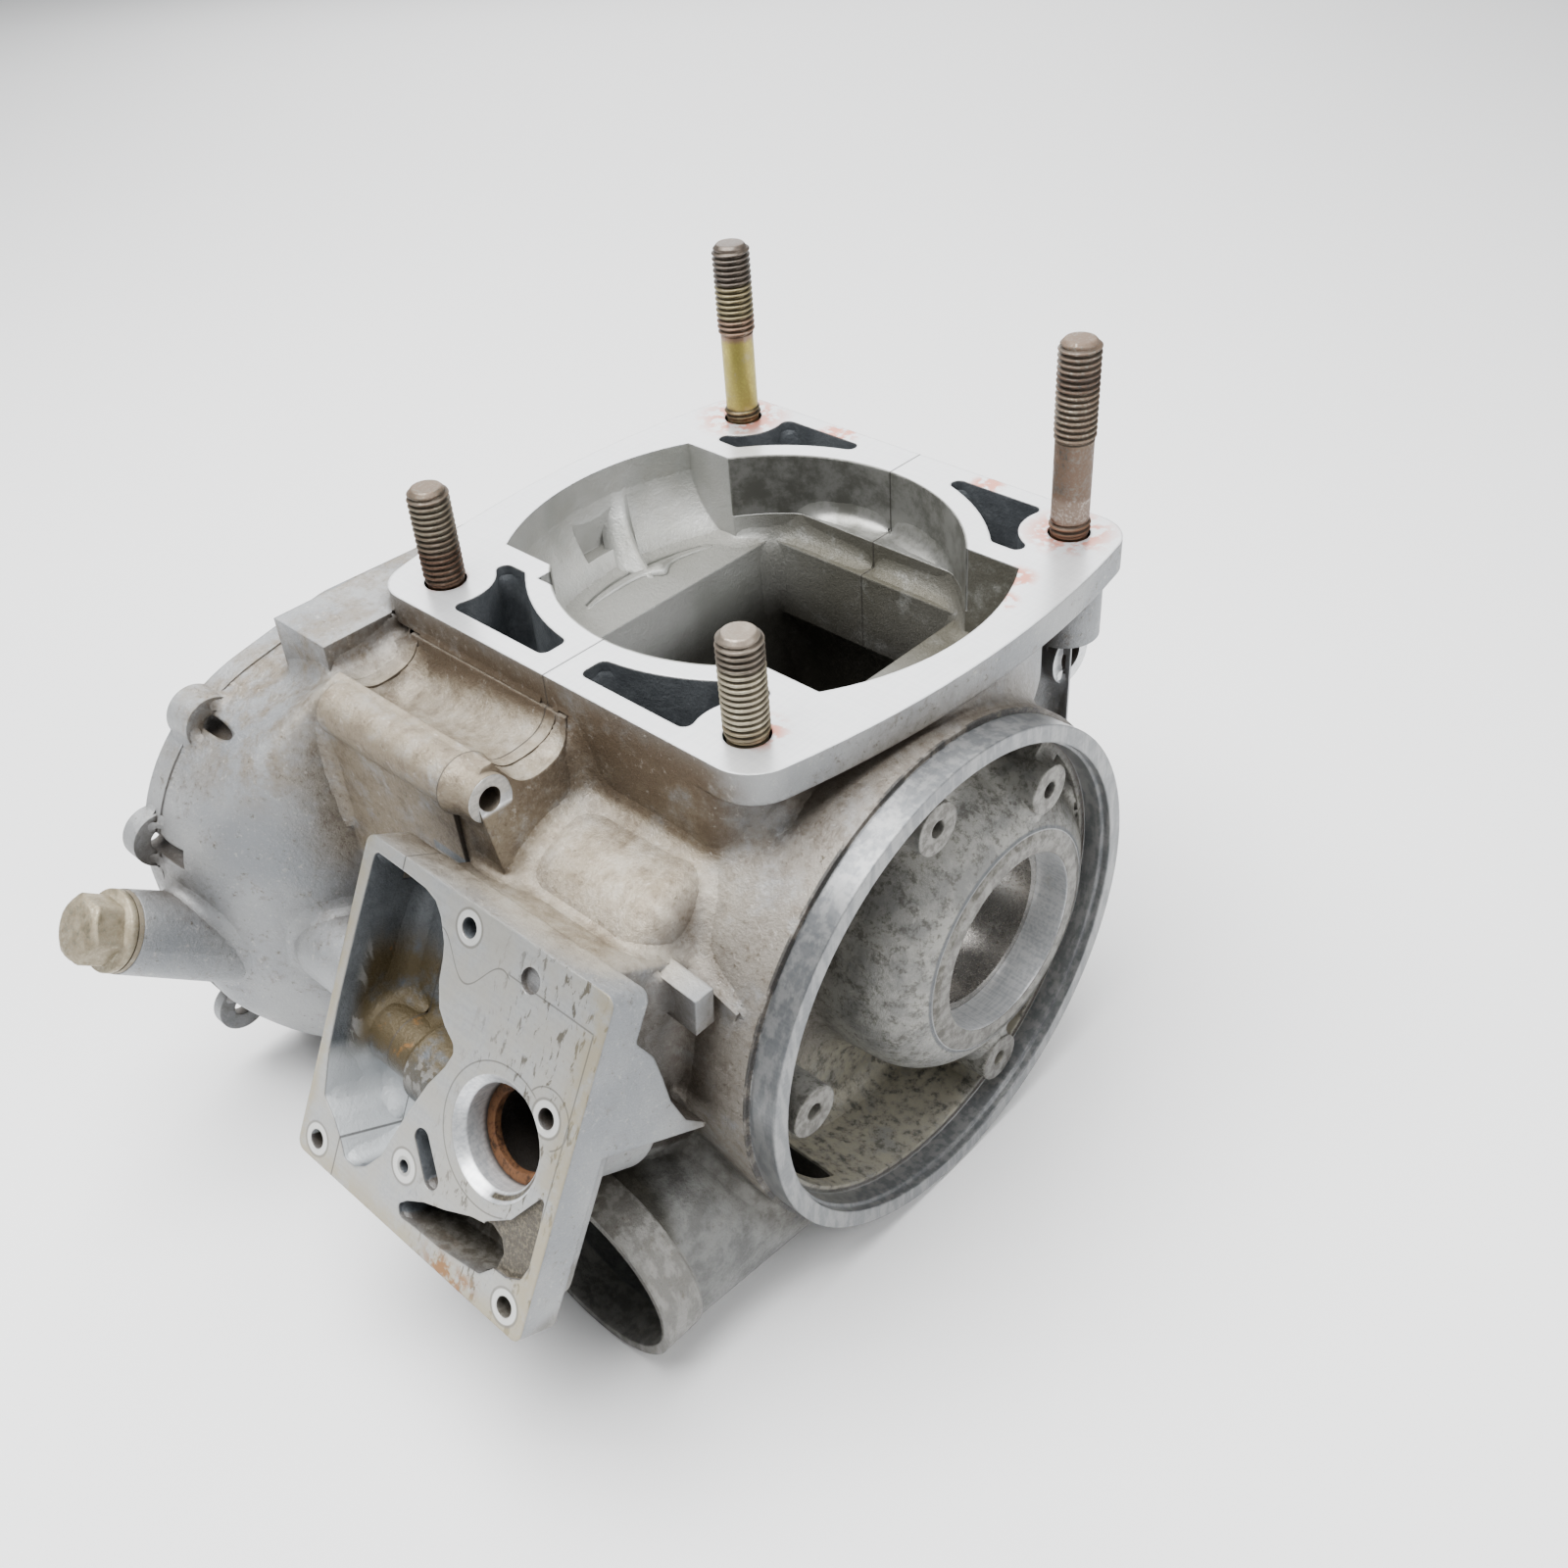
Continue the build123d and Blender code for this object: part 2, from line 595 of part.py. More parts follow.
def flange_cuts():
    pocket = from_flange(soft_shape(big_pocket_shape, 2.0), -overcut, big_pocket_depth)
    pocket -= rod_x(shaft_y, shaft_z, shaft_r, flange_left, shaft_end)
    pocket -= rod_x(shaft_y, shaft_z, shaft_r + 2.5, shaft_step_x, shaft_end)
    pocket += from_flange(soft_shape(crescent_shape, 1.5), -overcut, crescent_depth)
    pocket += from_flange(soft_shape(shallow_shape, 1.0), -overcut, shallow_depth)
    pocket += from_flange(Pos(pump_bore_x, -pump_bore_s) * Circle(pump_bore_r), -1, pump_bore_depth)
    mouth = flange_plane * Pos(pump_bore_x, -pump_bore_s, -pump_bore_chamfer / 2) * Cone(
        pump_bore_r, pump_bore_r + pump_bore_chamfer, pump_bore_chamfer)
    pocket += mouth
    slot = Pos(*kidney_place) * Rot(0, 0, -kidney_turn) * SlotOverall(kidney_long, kidney_wide)
    pocket += from_flange(slot, -1, flange_thick)
    for x, s in flange_holes:
        pocket += from_flange(Pos(x, -s) * Circle(flange_hole_r), -1, flange_hole_depth)
    pocket += from_flange(Pos(small_hole[0], -small_hole[1]) * Circle(small_hole_r), -1, flange_thick)
    pocket += from_flange(Pos(*dimple_place) * Circle(dimple_r), -1, dimple_depth)
    return pocket


def stud_holes():
    holes = None
    for x, y, _ in stud_places().values():
        one = Pos(x, y, deck_height - (stud_depth + 4) / 2 + 1) * Cylinder(stud_d / 2, stud_depth + 6)
        holes = one if holes is None else holes + one
    return holes


def left_case():
    half = tower(-1)
    half += rod_x(0, 0, crank_r + crank_wall, cover_floor, 0)
    half += rod_x(belly_y, belly_z, belly_r, belly_left, neck_x + 20)
    half += Pos(belly_left, belly_y, belly_z) * Sphere(belly_r)
    # Body between the joint and the neck, then the flare out to the open side
    half += along_x(case_outline(0, 0), neck_x, 0)
    half += loft([Plane.YZ.offset(x) * case_outline(share, -0.5 * share) for x, share in flare_steps])
    half += along_x(case_outline(1, 0), cover_x, cover_x + cover_flange)
    for y, z, thick in lug_list:
        half += rod_x(y, z, lug_r, cover_x, cover_x + thick)
    # Roof slab beside the deck
    half += box_between(roof_left, roof_right, roof_front, tower_back - 18, body_top - 40,
                        body_top + roof_step)
    half += rod_x(case_boss_y, case_boss_z, ridge_r, neck_x + 4, 0)
    half += spout()

    half -= panel_and_groove()
    half -= loft([Plane.YZ.offset(trough_left + trough_shelf) * trough_profile(trough_depth),
                  Plane.YZ * trough_profile(trough_end_depth)])
    half -= along_x(trough_profile(trough_shelf_depth), trough_left, trough_left + trough_shelf + 1)
    half -= chamber_cuts()
    half -= cover_cavity()
    half -= rod_x(0, 0, bearing_r, cover_x - 1, 0)
    half -= rod_x(gear_y, gear_z, gear_r, gear_left, 1)
    half -= rod_x(gear_y, gear_z, gear_shaft_r, cover_x - 1, 1)
    half -= deck_pockets()
    for y, z, thick in lug_list:
        half -= rod_x(y, z, lug_hole_r, cover_x - 1, cover_x + thick + 14)
    half -= rod_x(case_boss_y, case_boss_z, case_thread_r, -case_thread_depth, overcut)
    half -= stud_holes()
    half -= spout_bore()
    half -= box_between(0, reach, -reach, reach, -reach, reach)
    return half


def panel_and_groove():
    """Upright panel in the wall of the left opening, and the groove in its ledge."""
    panel = box_between(-lobe_r + 1, -groove_r, panel_front, panel_back, deck_height - panel_depth,
                        deck_height - lobe_straight)
    ring = Circle(groove_r + groove_wide) - Circle(groove_r)
    ring &= Pos(-lobe_r, (groove_front + groove_back) / 2 - seat_y) * Rectangle(
        lobe_r, groove_back - groove_front)
    ledge = deck_height - ledge_depth
    return panel + along_z(Pos(0, seat_y) * ring, ledge - 1.5, ledge + 3)


def cover_cavity():
    """The open side of the left casting, which is lower beneath the deck."""
    full = along_x(case_outline(1, -cover_wall), cover_x - 1, gear_roof_x)
    deep = along_x(case_outline(0, -cover_wall - 2), gear_roof_x - 1, cover_floor)
    return full + (deep & box_between(gear_roof_x - 1, cover_floor, -reach, reach, -reach, gear_roof))


spout_plane = Plane(origin=(spout_x, spout_y, spout_z), x_dir=(1, 0, 0),
                    z_dir=(0, -cos(radians(spout_lean)), sin(radians(spout_lean))))


def spout():
    tube = loft([spout_plane * Circle(spout_foot_r), spout_plane.offset(spout_length) * Circle(spout_r)])
    return tube + extrude(spout_plane * Circle(spout_foot_r), amount=-spout_root)


def spout_bore():
    return extrude(spout_plane.offset(spout_length + 1) * Circle(plug_thread_r + fit_gap),
                   amount=-spout_length - spout_root - 6)


def filler_plug():
    seat = spout_plane.offset(spout_length + washer_thick)
    plug = extrude(seat * Circle(plug_flange_r), amount=plug_flange_thick)
    plug += extrude(seat.offset(plug_flange_thick) * RegularPolygon(plug_hex_r, 6), amount=plug_hex_length)
    plug += extrude(seat * Circle(plug_thread_r), amount=-(washer_thick + plug_thread_length))
    return plug


def filler_washer():
    seat = spout_plane.offset(spout_length)
    return extrude(seat * (Circle(washer_r) - Circle(plug_thread_r + fit_gap)), amount=washer_thick)


def sleeve(x0, x1):
    return along_x(Circle(bearing_r - fit_gap) - Circle(bearing_r - sleeve_wall), x0, x1)


def pump_seal():
    ring = Pos(pump_bore_x, -pump_bore_s) * (Circle(pump_bore_r - fit_gap) - Circle(seal_r))
    return from_flange(ring, seal_depth, seal_depth + seal_thick)


def stud(x, y, out):
    body = along_z(Circle(stud_out_r), stud_neck, out)
    body = chamfer(body.edges().sort_by(Axis.Z)[-1], stud_chamfer)
    body += along_z(Circle(stud_neck_r), -stud_neck, stud_neck)
    body += along_z(Circle(stud_d / 2 - fit_gap), -stud_depth, -stud_neck)
    return Pos(x, y, deck_height) * body


pieces = {
    "left_case_half": left_case(),
    "right_case_half": right_case(),
    "filler_plug": filler_plug(),
    "filler_plug_washer": filler_washer(),
    "crank_sleeve_right": sleeve(hub_face - sleeve_recess - sleeve_length, hub_face - sleeve_recess),
    "crank_sleeve_left": sleeve(cover_floor, cover_floor + left_sleeve_length),
    "pump_bore_seal": pump_seal(),
}
for name, (x, y, out) in stud_places().items():
    pieces[name] = stud(x, y, out)

for name, piece in pieces.items():
    export_step(piece, f"parts/{name}.step")
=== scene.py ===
"""The look of an engine crankcase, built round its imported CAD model."""

import math

import bpy
import bmesh
import numpy as np
from mathutils import Euler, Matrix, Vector


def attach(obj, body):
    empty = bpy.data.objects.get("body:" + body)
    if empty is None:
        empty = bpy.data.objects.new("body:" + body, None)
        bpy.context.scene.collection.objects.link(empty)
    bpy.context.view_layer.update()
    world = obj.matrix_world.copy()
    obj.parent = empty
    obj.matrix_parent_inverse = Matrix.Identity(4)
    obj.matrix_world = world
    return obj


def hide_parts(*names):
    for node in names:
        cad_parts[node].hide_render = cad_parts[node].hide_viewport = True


MM = 0.001

# Camera of the photograph, fitted to the hole grid of the bench
CAMERA_PLACE = (0.27735, -0.26887, 0.31285)
CAMERA_TURN = (51.930, 3.245, 42.691)
CAMERA_LENS = 36.148
SENSOR = 36.0

FLOOR_Z = -0.0705
FLOOR_REACH = 3.0
SKY = (0.95, 0.975, 1.0, 1.0)
SKY_STRENGTH = 0.3
LAMPS = (("key", (-0.15, -0.25, 1.2), 1.1, 52.0),        # name, place, size, power
         ("back", (-1.0, 1.0, 0.8), 1.4, 20.0),
         ("side", (1.0, 0.2, 0.7), 0.8, 9.0))

# Main sizes of the part, in millimetres, as in the CAD source
DECK_Z = 93.5
DECK_POCKET_DEPTH = 34.0
SEAT_R = 58.0
SEAT_Y = 2.5
SEAT_DEPTH = 20.0
LEDGE_Z = 64.5
LOBE_R = 73.0
LOBE_FOOT_R = 62.0
FLANGE_Y = -125.6
FLANGE_Z = 66.8
FLANGE_LEAN = 29.0
FLANGE_LEFT = -15.5
FLANGE_RIGHT = 76.5
FLANGE_LENGTH = 92.0
FLANGE_HOLES = ((27.3, 6.8), (66.1, 36.5), (-8.4, 86.0), (69.0, 86.0), (25.3, 73.9))
KIDNEY_SLOT = (32.3, 67.6)
PUMP_BORE = (52.5, 50.0)
PUMP_BORE_R = 13.0
RING_Y = -25.7
RING_Z = 5.8
RIM_R = 74.9
RIM_BACK = 87.0
CAVITY_R = 67.5
CAVITY_FLOOR = 57.0
CRANK_R = 60.0
HUB_FACE = 92.5
HUB_FACE_R = 32.3
HUB_R = 47.5
BORE_R = 27.9
BOSS_FACE = 92.0
BOSS_RADIUS = 57.0
BOSS_ANGLES = (43.0, 97.0, 184.0, -66.0)
STUD_R = 5.85
STUD_PITCH = 1.75
THREAD_DEPTH = 0.613      # of the pitch
THREAD_RUN_OUT = 1.4
STUD_TIP = 1.7
STUD_DEPTH = 30.0
STUD_SIDES = 36
FRONT_STUD = (58.1, -62.35, 28.8)        # X, Y and height above the deck
REAR_STUD = (63.1, 62.35, 56.4)
FRONT_LEFT = (-58.1, -62.35, 28.8)
REAR_LEFT = (-63.1, 62.35, 56.4)
CASE_BOSS = (-105.3, 76.6)
CASE_BOSS_R = 6.5
REAR_LUG = (69.0, 48.5)
GEAR = (-87.0, 26.0)
GEAR_R = 24.0
COVER_X = -112.0
LUGS = ((-121.0, 58.0), (-145.0, 28.5), (-139.0, -47.0), (-60.0, -62.0), (40.0, -57.0),
        (60.0, 30.0), (0.0, 66.0))
DUCT_X = 53.0
DUCT_Z = -43.0
DUCT_MOUTH_Y = -133.5
DUCT_BORE = (52.8, -41.2)
DUCT_BORE_RX = 30.6
DUCT_BORE_RZ = 25.6
SPOUT = (-95.0, -145.5, -4.0)
SPOUT_LEAN = 40.0
SPOUT_LENGTH = 30.5
WASHER_THICK = 1.5
PLUG_FLANGE_R = 12.0
PLUG_FLANGE_THICK = 2.5
PLUG_THREAD_R = 7.0
PLUG_THREAD_LENGTH = 14.0
PLUG_HEX_R = 10.4
PLUG_HEX_LENGTH = 9.5

WEB_ANGLE = 0.16          # radians from -X, towards the back
WEB_ROWS = 24
RIDGE_ROWS = 60

FILLET_GRID = 1.0         # grid that the fillets are found on
FILLET_ROUNDS = 46
FILLET_BEND = 0.036       # corners stop growing at a radius of about 7 mm
FILLET_PACE = 0.9
FILLET_SHOWN = 0.12       # a strip covers the squares with a point that rose more than this
FILLET_RIM = 0.30         # points that rose less than this are sunk into the casting
FILLET_SINK = 0.10

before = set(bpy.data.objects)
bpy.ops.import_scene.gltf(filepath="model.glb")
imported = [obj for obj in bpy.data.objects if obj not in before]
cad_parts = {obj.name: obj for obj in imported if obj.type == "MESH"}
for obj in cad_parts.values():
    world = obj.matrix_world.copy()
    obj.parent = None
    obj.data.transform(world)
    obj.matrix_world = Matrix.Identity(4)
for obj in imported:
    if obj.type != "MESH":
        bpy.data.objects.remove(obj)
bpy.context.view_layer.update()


# Shader graphs

class Graph:
    """Builds the node tree of one material."""

    def __init__(self, name):
        self.material = bpy.data.materials.new(name)
        self.material.use_nodes = True
        self.tree = self.material.node_tree
        self.tree.nodes.clear()
        self.shader = self.tree.nodes.new("ShaderNodeBsdfPrincipled")
        out = self.tree.nodes.new("ShaderNodeOutputMaterial")
        self.tree.links.new(self.shader.outputs[0], out.inputs[0])
        coords = self.tree.nodes.new("ShaderNodeTexCoord")
        self.place = self.vector_math("SCALE", coords.outputs["Object"], scale=1000.0)
        axes = self.node("ShaderNodeSeparateXYZ", {0: self.place})
        self.x, self.y, self.z = axes.outputs
        self.normal = self.tree.nodes.new("ShaderNodeNewGeometry").outputs["Normal"]
        facing = self.node("ShaderNodeSeparateXYZ", {0: self.normal})
        self.nx, _, self.nz = facing.outputs

    def node(self, kind, inputs, **settings):
        made = self.tree.nodes.new(kind)
        for key, value in settings.items():
            setattr(made, key, value)
        for key, value in inputs.items():
            self.feed(made.inputs[key], value)
        return made

    def feed(self, socket, value):
        if isinstance(value, bpy.types.NodeSocket):
            self.tree.links.new(value, socket)
        elif value is not None:
            socket.default_value = value

    def math(self, operation, a, b=None):
        return self.node("ShaderNodeMath", {0: a, 1: b}, operation=operation).outputs[0]

    def plus(self, a, b):
        return self.math("ADD", a, b)

    def minus(self, a, b):
        return self.math("SUBTRACT", a, b)

    def times(self, a, b):
        return self.math("MULTIPLY", a, b)

    def absolute(self, a):
        return self.math("ABSOLUTE", a)

    def vector_math(self, operation, a, b=None, scale=None):
        made = self.node("ShaderNodeVectorMath", {0: a, 1: b}, operation=operation)
        if scale is not None:
            made.inputs["Scale"].default_value = scale
        return made.outputs["Value" if operation in ("LENGTH", "DOT_PRODUCT") else "Vector"]

    def noise(self, size, detail=4.0, roughness=0.55, stretch=None, distortion=0.0):
        """Noise from 0 to 1 whose features are about size millimetres wide. stretch scales the axes."""
        place = self.place if stretch is None else self.vector_math("MULTIPLY", self.place, stretch)
        made = self.node("ShaderNodeTexNoise", {
            "Vector": place, "Scale": 1.0 / size, "Detail": detail, "Roughness": roughness,
            "Distortion": distortion})
        return made.outputs["Fac"]

    def step(self, value, low, high):
        """0 at low, 1 at high, smooth between. low may be above high."""
        made = self.node("ShaderNodeMapRange", {0: value, 1: low, 2: high, 3: 0.0, 4: 1.0},
                         interpolation_type="SMOOTHSTEP")
        return made.outputs[0]

    def both(self, *masks):
        whole = masks[0]
        for mask in masks[1:]:
            whole = self.times(whole, mask)
        return whole

    def either(self, *masks):
        whole = masks[0]
        for mask in masks[1:]:
            whole = self.math("MAXIMUM", whole, mask)
        return whole

    def inverse(self, mask):
        return self.minus(1.0, mask)

    def line(self, value, at, outer=0.3, core=0.12):
        """1 on a thin line where value is at, 0 further than outer from it."""
        return self.step(self.absolute(self.minus(value, at)), outer, core)

    def within(self, value, low, high, soft=1.0):
        return self.both(self.step(value, low - soft / 2, low + soft / 2),
                         self.step(value, high + soft / 2, high - soft / 2))

    def block(self, x, y, z, soft=1.0):
        """1 inside a box given as three (low, high) pairs."""
        return self.both(self.within(self.x, *x, soft), self.within(self.y, *y, soft),
                         self.within(self.z, *z, soft))

    def mix(self, factor, a, b):
        made = self.tree.nodes.new("ShaderNodeMix")
        made.data_type = "RGBA"
        self.feed(made.inputs[0], factor)
        self.feed(made.inputs[6], a)
        self.feed(made.inputs[7], b)
        return made.outputs[2]

    def blend(self, factor, a, b):
        made = self.node("ShaderNodeMix", {0: factor, 2: a, 3: b})
        return made.outputs[0]

    def distance(self, axis, centre):
        """Distance from the line through centre along axis ('x' or 'z')."""
        pair = {"x": (self.y, self.z), "z": (self.x, self.y)}[axis]
        return self.length(*[self.minus(value, at) for value, at in zip(pair, centre)])

    def length(self, *values):
        whole = None
        for value in values:
            square = self.times(value, value)
            whole = square if whole is None else self.plus(whole, square)
        return self.math("SQRT", whole)

    def shelter(self, reach):
        """0 in the open, 1 deep in a corner or a hole."""
        made = self.node("ShaderNodeAmbientOcclusion", {"Distance": reach * MM}, samples=3)
        return self.inverse(made.outputs["AO"])

    def bump(self, height, strength, distance_mm, normal=None):
        made = self.node("ShaderNodeBump", {
            "Strength": strength, "Distance": distance_mm * MM, "Height": height, "Normal": normal})
        return made.outputs["Normal"]

    def soft_edges(self, radius_mm):
        return self.node("ShaderNodeBevel", {"Radius": radius_mm * MM}, samples=3).outputs[0]

    def finish(self, color, roughness, metallic, normal=None):
        self.feed(self.shader.inputs["Base Color"], color)
        self.feed(self.shader.inputs["Roughness"], roughness)
        self.feed(self.shader.inputs["Metallic"], metallic)
        if normal is not None:
            self.feed(self.shader.inputs["Normal"], normal)
        return self.material


def rgb(r, g, b):
    return (r, g, b, 1.0)


def leaning(degrees):
    """Direction towards -Y that is raised by an angle."""
    return (0.0, -math.cos(math.radians(degrees)), math.sin(math.radians(degrees)))


FLANGE_OUT = Vector(leaning(FLANGE_LEAN))
FLANGE_DOWN = Vector((0.0, -FLANGE_OUT.z, FLANGE_OUT.y))
FLANGE_TOP = Vector((0.0, FLANGE_Y, FLANGE_Z))
SPOUT_AXIS = leaning(SPOUT_LEAN)


def flange_frame(g):
    """Distance down the flange from its top edge, and depth behind its face."""
    along = g.vector_math("DOT_PRODUCT", g.place, tuple(FLANGE_DOWN))
    out = g.vector_math("DOT_PRODUCT", g.place, tuple(FLANGE_OUT))
    return g.minus(along, FLANGE_TOP.dot(FLANGE_DOWN)), g.minus(FLANGE_TOP.dot(FLANGE_OUT), out)


def flange_distance(g, down, centre):
    """Distance over the flange's face from centre, which is given as X and distance down."""
    return g.length(g.minus(g.x, centre[0]), g.minus(down, centre[1]))


def machined_masks(g, down, depth):
    """Masks of the flat machined faces of both castings."""
    deck = g.both(g.step(g.z, DECK_Z - 0.3, DECK_Z - 0.1), g.step(g.nz, 0.8, 0.9))
    onto = g.vector_math("DOT_PRODUCT", g.normal, tuple(FLANGE_OUT))
    flange = g.both(g.step(depth, 0.35, 0.15), g.step(g.x, FLANGE_LEFT - 2, FLANGE_LEFT - 1),
                    g.step(onto, 0.9, 0.95))
    pump = g.both(g.step(flange_distance(g, down, PUMP_BORE), PUMP_BORE_R + 2.6, PUMP_BORE_R + 2.3),
                  g.within(depth, -1.0, 13.0), g.within(down, 20.0, 80.0))
    ring = g.distance("x", (RING_Y, RING_Z))
    hub = g.distance("x", (0.0, 0.0))
    facing = g.step(g.nx, 0.8, 0.9)
    rim = g.both(g.step(g.x, RIM_BACK, RIM_BACK + 0.2),
                 g.step(ring, CAVITY_R + 1.0, CAVITY_R + 1.6))
    hub_face = g.both(g.step(g.x, HUB_FACE - 0.3, HUB_FACE - 0.1), facing,
                      g.step(hub, HUB_FACE_R + 1, HUB_FACE_R))
    bore = g.both(g.step(hub, BORE_R + 0.5, BORE_R + 0.2), g.step(g.absolute(g.x), 38.5, 39.0))
    bosses = g.both(g.step(g.x, BOSS_FACE - 0.3, BOSS_FACE - 0.1), facing, g.step(ring, 67.0, 66.0))
    seat = g.both(g.step(g.distance("z", (0.0, SEAT_Y)), SEAT_R + 0.8, SEAT_R + 0.2),
                  g.step(g.z, DECK_Z - SEAT_DEPTH - 0.2, DECK_Z - SEAT_DEPTH))
    case_boss = g.both(g.step(g.x, 9.6, 9.8), g.step(g.x, 11.0, 10.5), facing,
                       g.step(g.distance("x", CASE_BOSS), CASE_BOSS_R + 0.4, CASE_BOSS_R))
    lug = g.both(g.within(g.x, 61.8, 62.6, 0.1), facing, g.step(g.distance("x", REAR_LUG), 9.4, 9.0))
    return {"deck": deck, "flange": flange, "pump": pump, "rim": rim, "hub": hub_face, "bore": bore,
            "bosses": bosses, "seat": seat, "case_boss": case_boss, "lug": lug}


# Colours of the castings, linear. A pair is mixed by a noise.
CAST_GREY = (rgb(0.22, 0.232, 0.245), rgb(0.33, 0.336, 0.338))
CAST_GLINT = rgb(0.50, 0.50, 0.48)
TAN = rgb(0.205, 0.160, 0.100)
TOWER_BROWN_AND_SHADE = rgb(0.10, 0.07, 0.045)
GRIME = rgb(0.12, 0.085, 0.055)
GRIME_FLECK = rgb(0.085, 0.07, 0.045)
WORN_METAL = rgb(0.60, 0.57, 0.52)
TOP_PAINTED_LIGHT = rgb(0.50, 0.45, 0.36)
CORNER_SHADE = rgb(0.055, 0.042, 0.03)
DUCT_OUTSIDE = (rgb(0.04, 0.038, 0.03), rgb(0.14, 0.14, 0.13))
DUCT_LIP = (rgb(0.09, 0.08, 0.06), rgb(0.20, 0.19, 0.165))
DUCT_INSIDE_SHADE = (rgb(0.018, 0.016, 0.01), rgb(0.055, 0.05, 0.036))
MAGNETO_ROOM = (rgb(0.155, 0.152, 0.138), rgb(0.29, 0.283, 0.25))
MAGNETO_MOTTLE = rgb(0.075, 0.07, 0.06)
SUMP_BEIGE_AND_LIGHT = rgb(0.40, 0.37, 0.29)
OIL_AND_SHADE = rgb(0.12, 0.10, 0.075)
HUB_CHAMFER = rgb(0.085, 0.092, 0.10)
POCKET_SHADE = (rgb(0.075, 0.085, 0.095), rgb(0.135, 0.148, 0.16))
POCKET_PALE = rgb(0.66, 0.69, 0.71)
POCKET_BROWN = rgb(0.075, 0.056, 0.026)
POCKET_RUST = rgb(0.20, 0.10, 0.03)
POCKET_BARE = rgb(0.42, 0.42, 0.41)
ROOM = (rgb(0.36, 0.366, 0.335), rgb(0.55, 0.555, 0.535))
ROOM_LEDGE = rgb(0.12, 0.117, 0.10)
ROOM_STAIN = rgb(0.062, 0.055, 0.035)
ROOM_DEPTH_SHADE = rgb(0.022, 0.02, 0.015)
CUT_METAL = (rgb(0.50, 0.52, 0.54), rgb(0.68, 0.69, 0.70))
CUT_DULL = rgb(0.40, 0.39, 0.36)
CUT_DECK = rgb(0.80, 0.81, 0.82)
CUT_MAGNETO = (rgb(0.075, 0.08, 0.085), rgb(0.17, 0.172, 0.17))
CUT_HUB_SPOT = rgb(0.07, 0.07, 0.065)
CUT_SEAT = (rgb(0.13, 0.13, 0.115), rgb(0.25, 0.25, 0.235))
CUT_FLANGE = rgb(0.25, 0.255, 0.25)
CUT_BOSS = (rgb(0.16, 0.155, 0.14), rgb(0.06, 0.055, 0.045))
FLANGE_STAIN = rgb(0.38, 0.36, 0.31)
FLANGE_SPECKLE = rgb(0.075, 0.062, 0.042)
FLANGE_YELLOW = rgb(0.33, 0.28, 0.17)
RECESS = (rgb(0.075, 0.065, 0.05), rgb(0.19, 0.165, 0.12))
NOTCH_RUST = rgb(0.24, 0.12, 0.045)
STEP_SHADE_LINE = rgb(0.05, 0.045, 0.035)
BORE_SHADE = rgb(0.028, 0.022, 0.016)
SCREW_CONE = rgb(0.60, 0.60, 0.58)
SCREW_RING = rgb(0.16, 0.15, 0.13)
SEALING_RED = rgb(0.62, 0.15, 0.06)
SEAM_DARK = rgb(0.05, 0.045, 0.04)
GROOVE_DARK = rgb(0.035, 0.035, 0.035)

# Colours of the steel pieces
STEEL_CREVICE_SHADE = rgb(0.03, 0.024, 0.018)
STUD_WORN = rgb(0.50, 0.47, 0.40)
STUD_RUST = rgb(0.12, 0.062, 0.032)
THREAD_ROOT_SHADE = rgb(0.035, 0.027, 0.018)

# Sealing paint on the deck: x, y and size of each smear
SMEARS = ((-REAR_STUD[0], REAR_STUD[1], 18.0), (REAR_STUD[0], REAR_STUD[1], 16.0), (59.5, -60.0, 9.5),
          (-FRONT_STUD[0], FRONT_STUD[1], 8.0), (66.0, 34.0, 7.0), (70.0, 22.0, 6.0), (-30.0, 71.0, 9.0),
          (28.0, 71.5, 7.0))


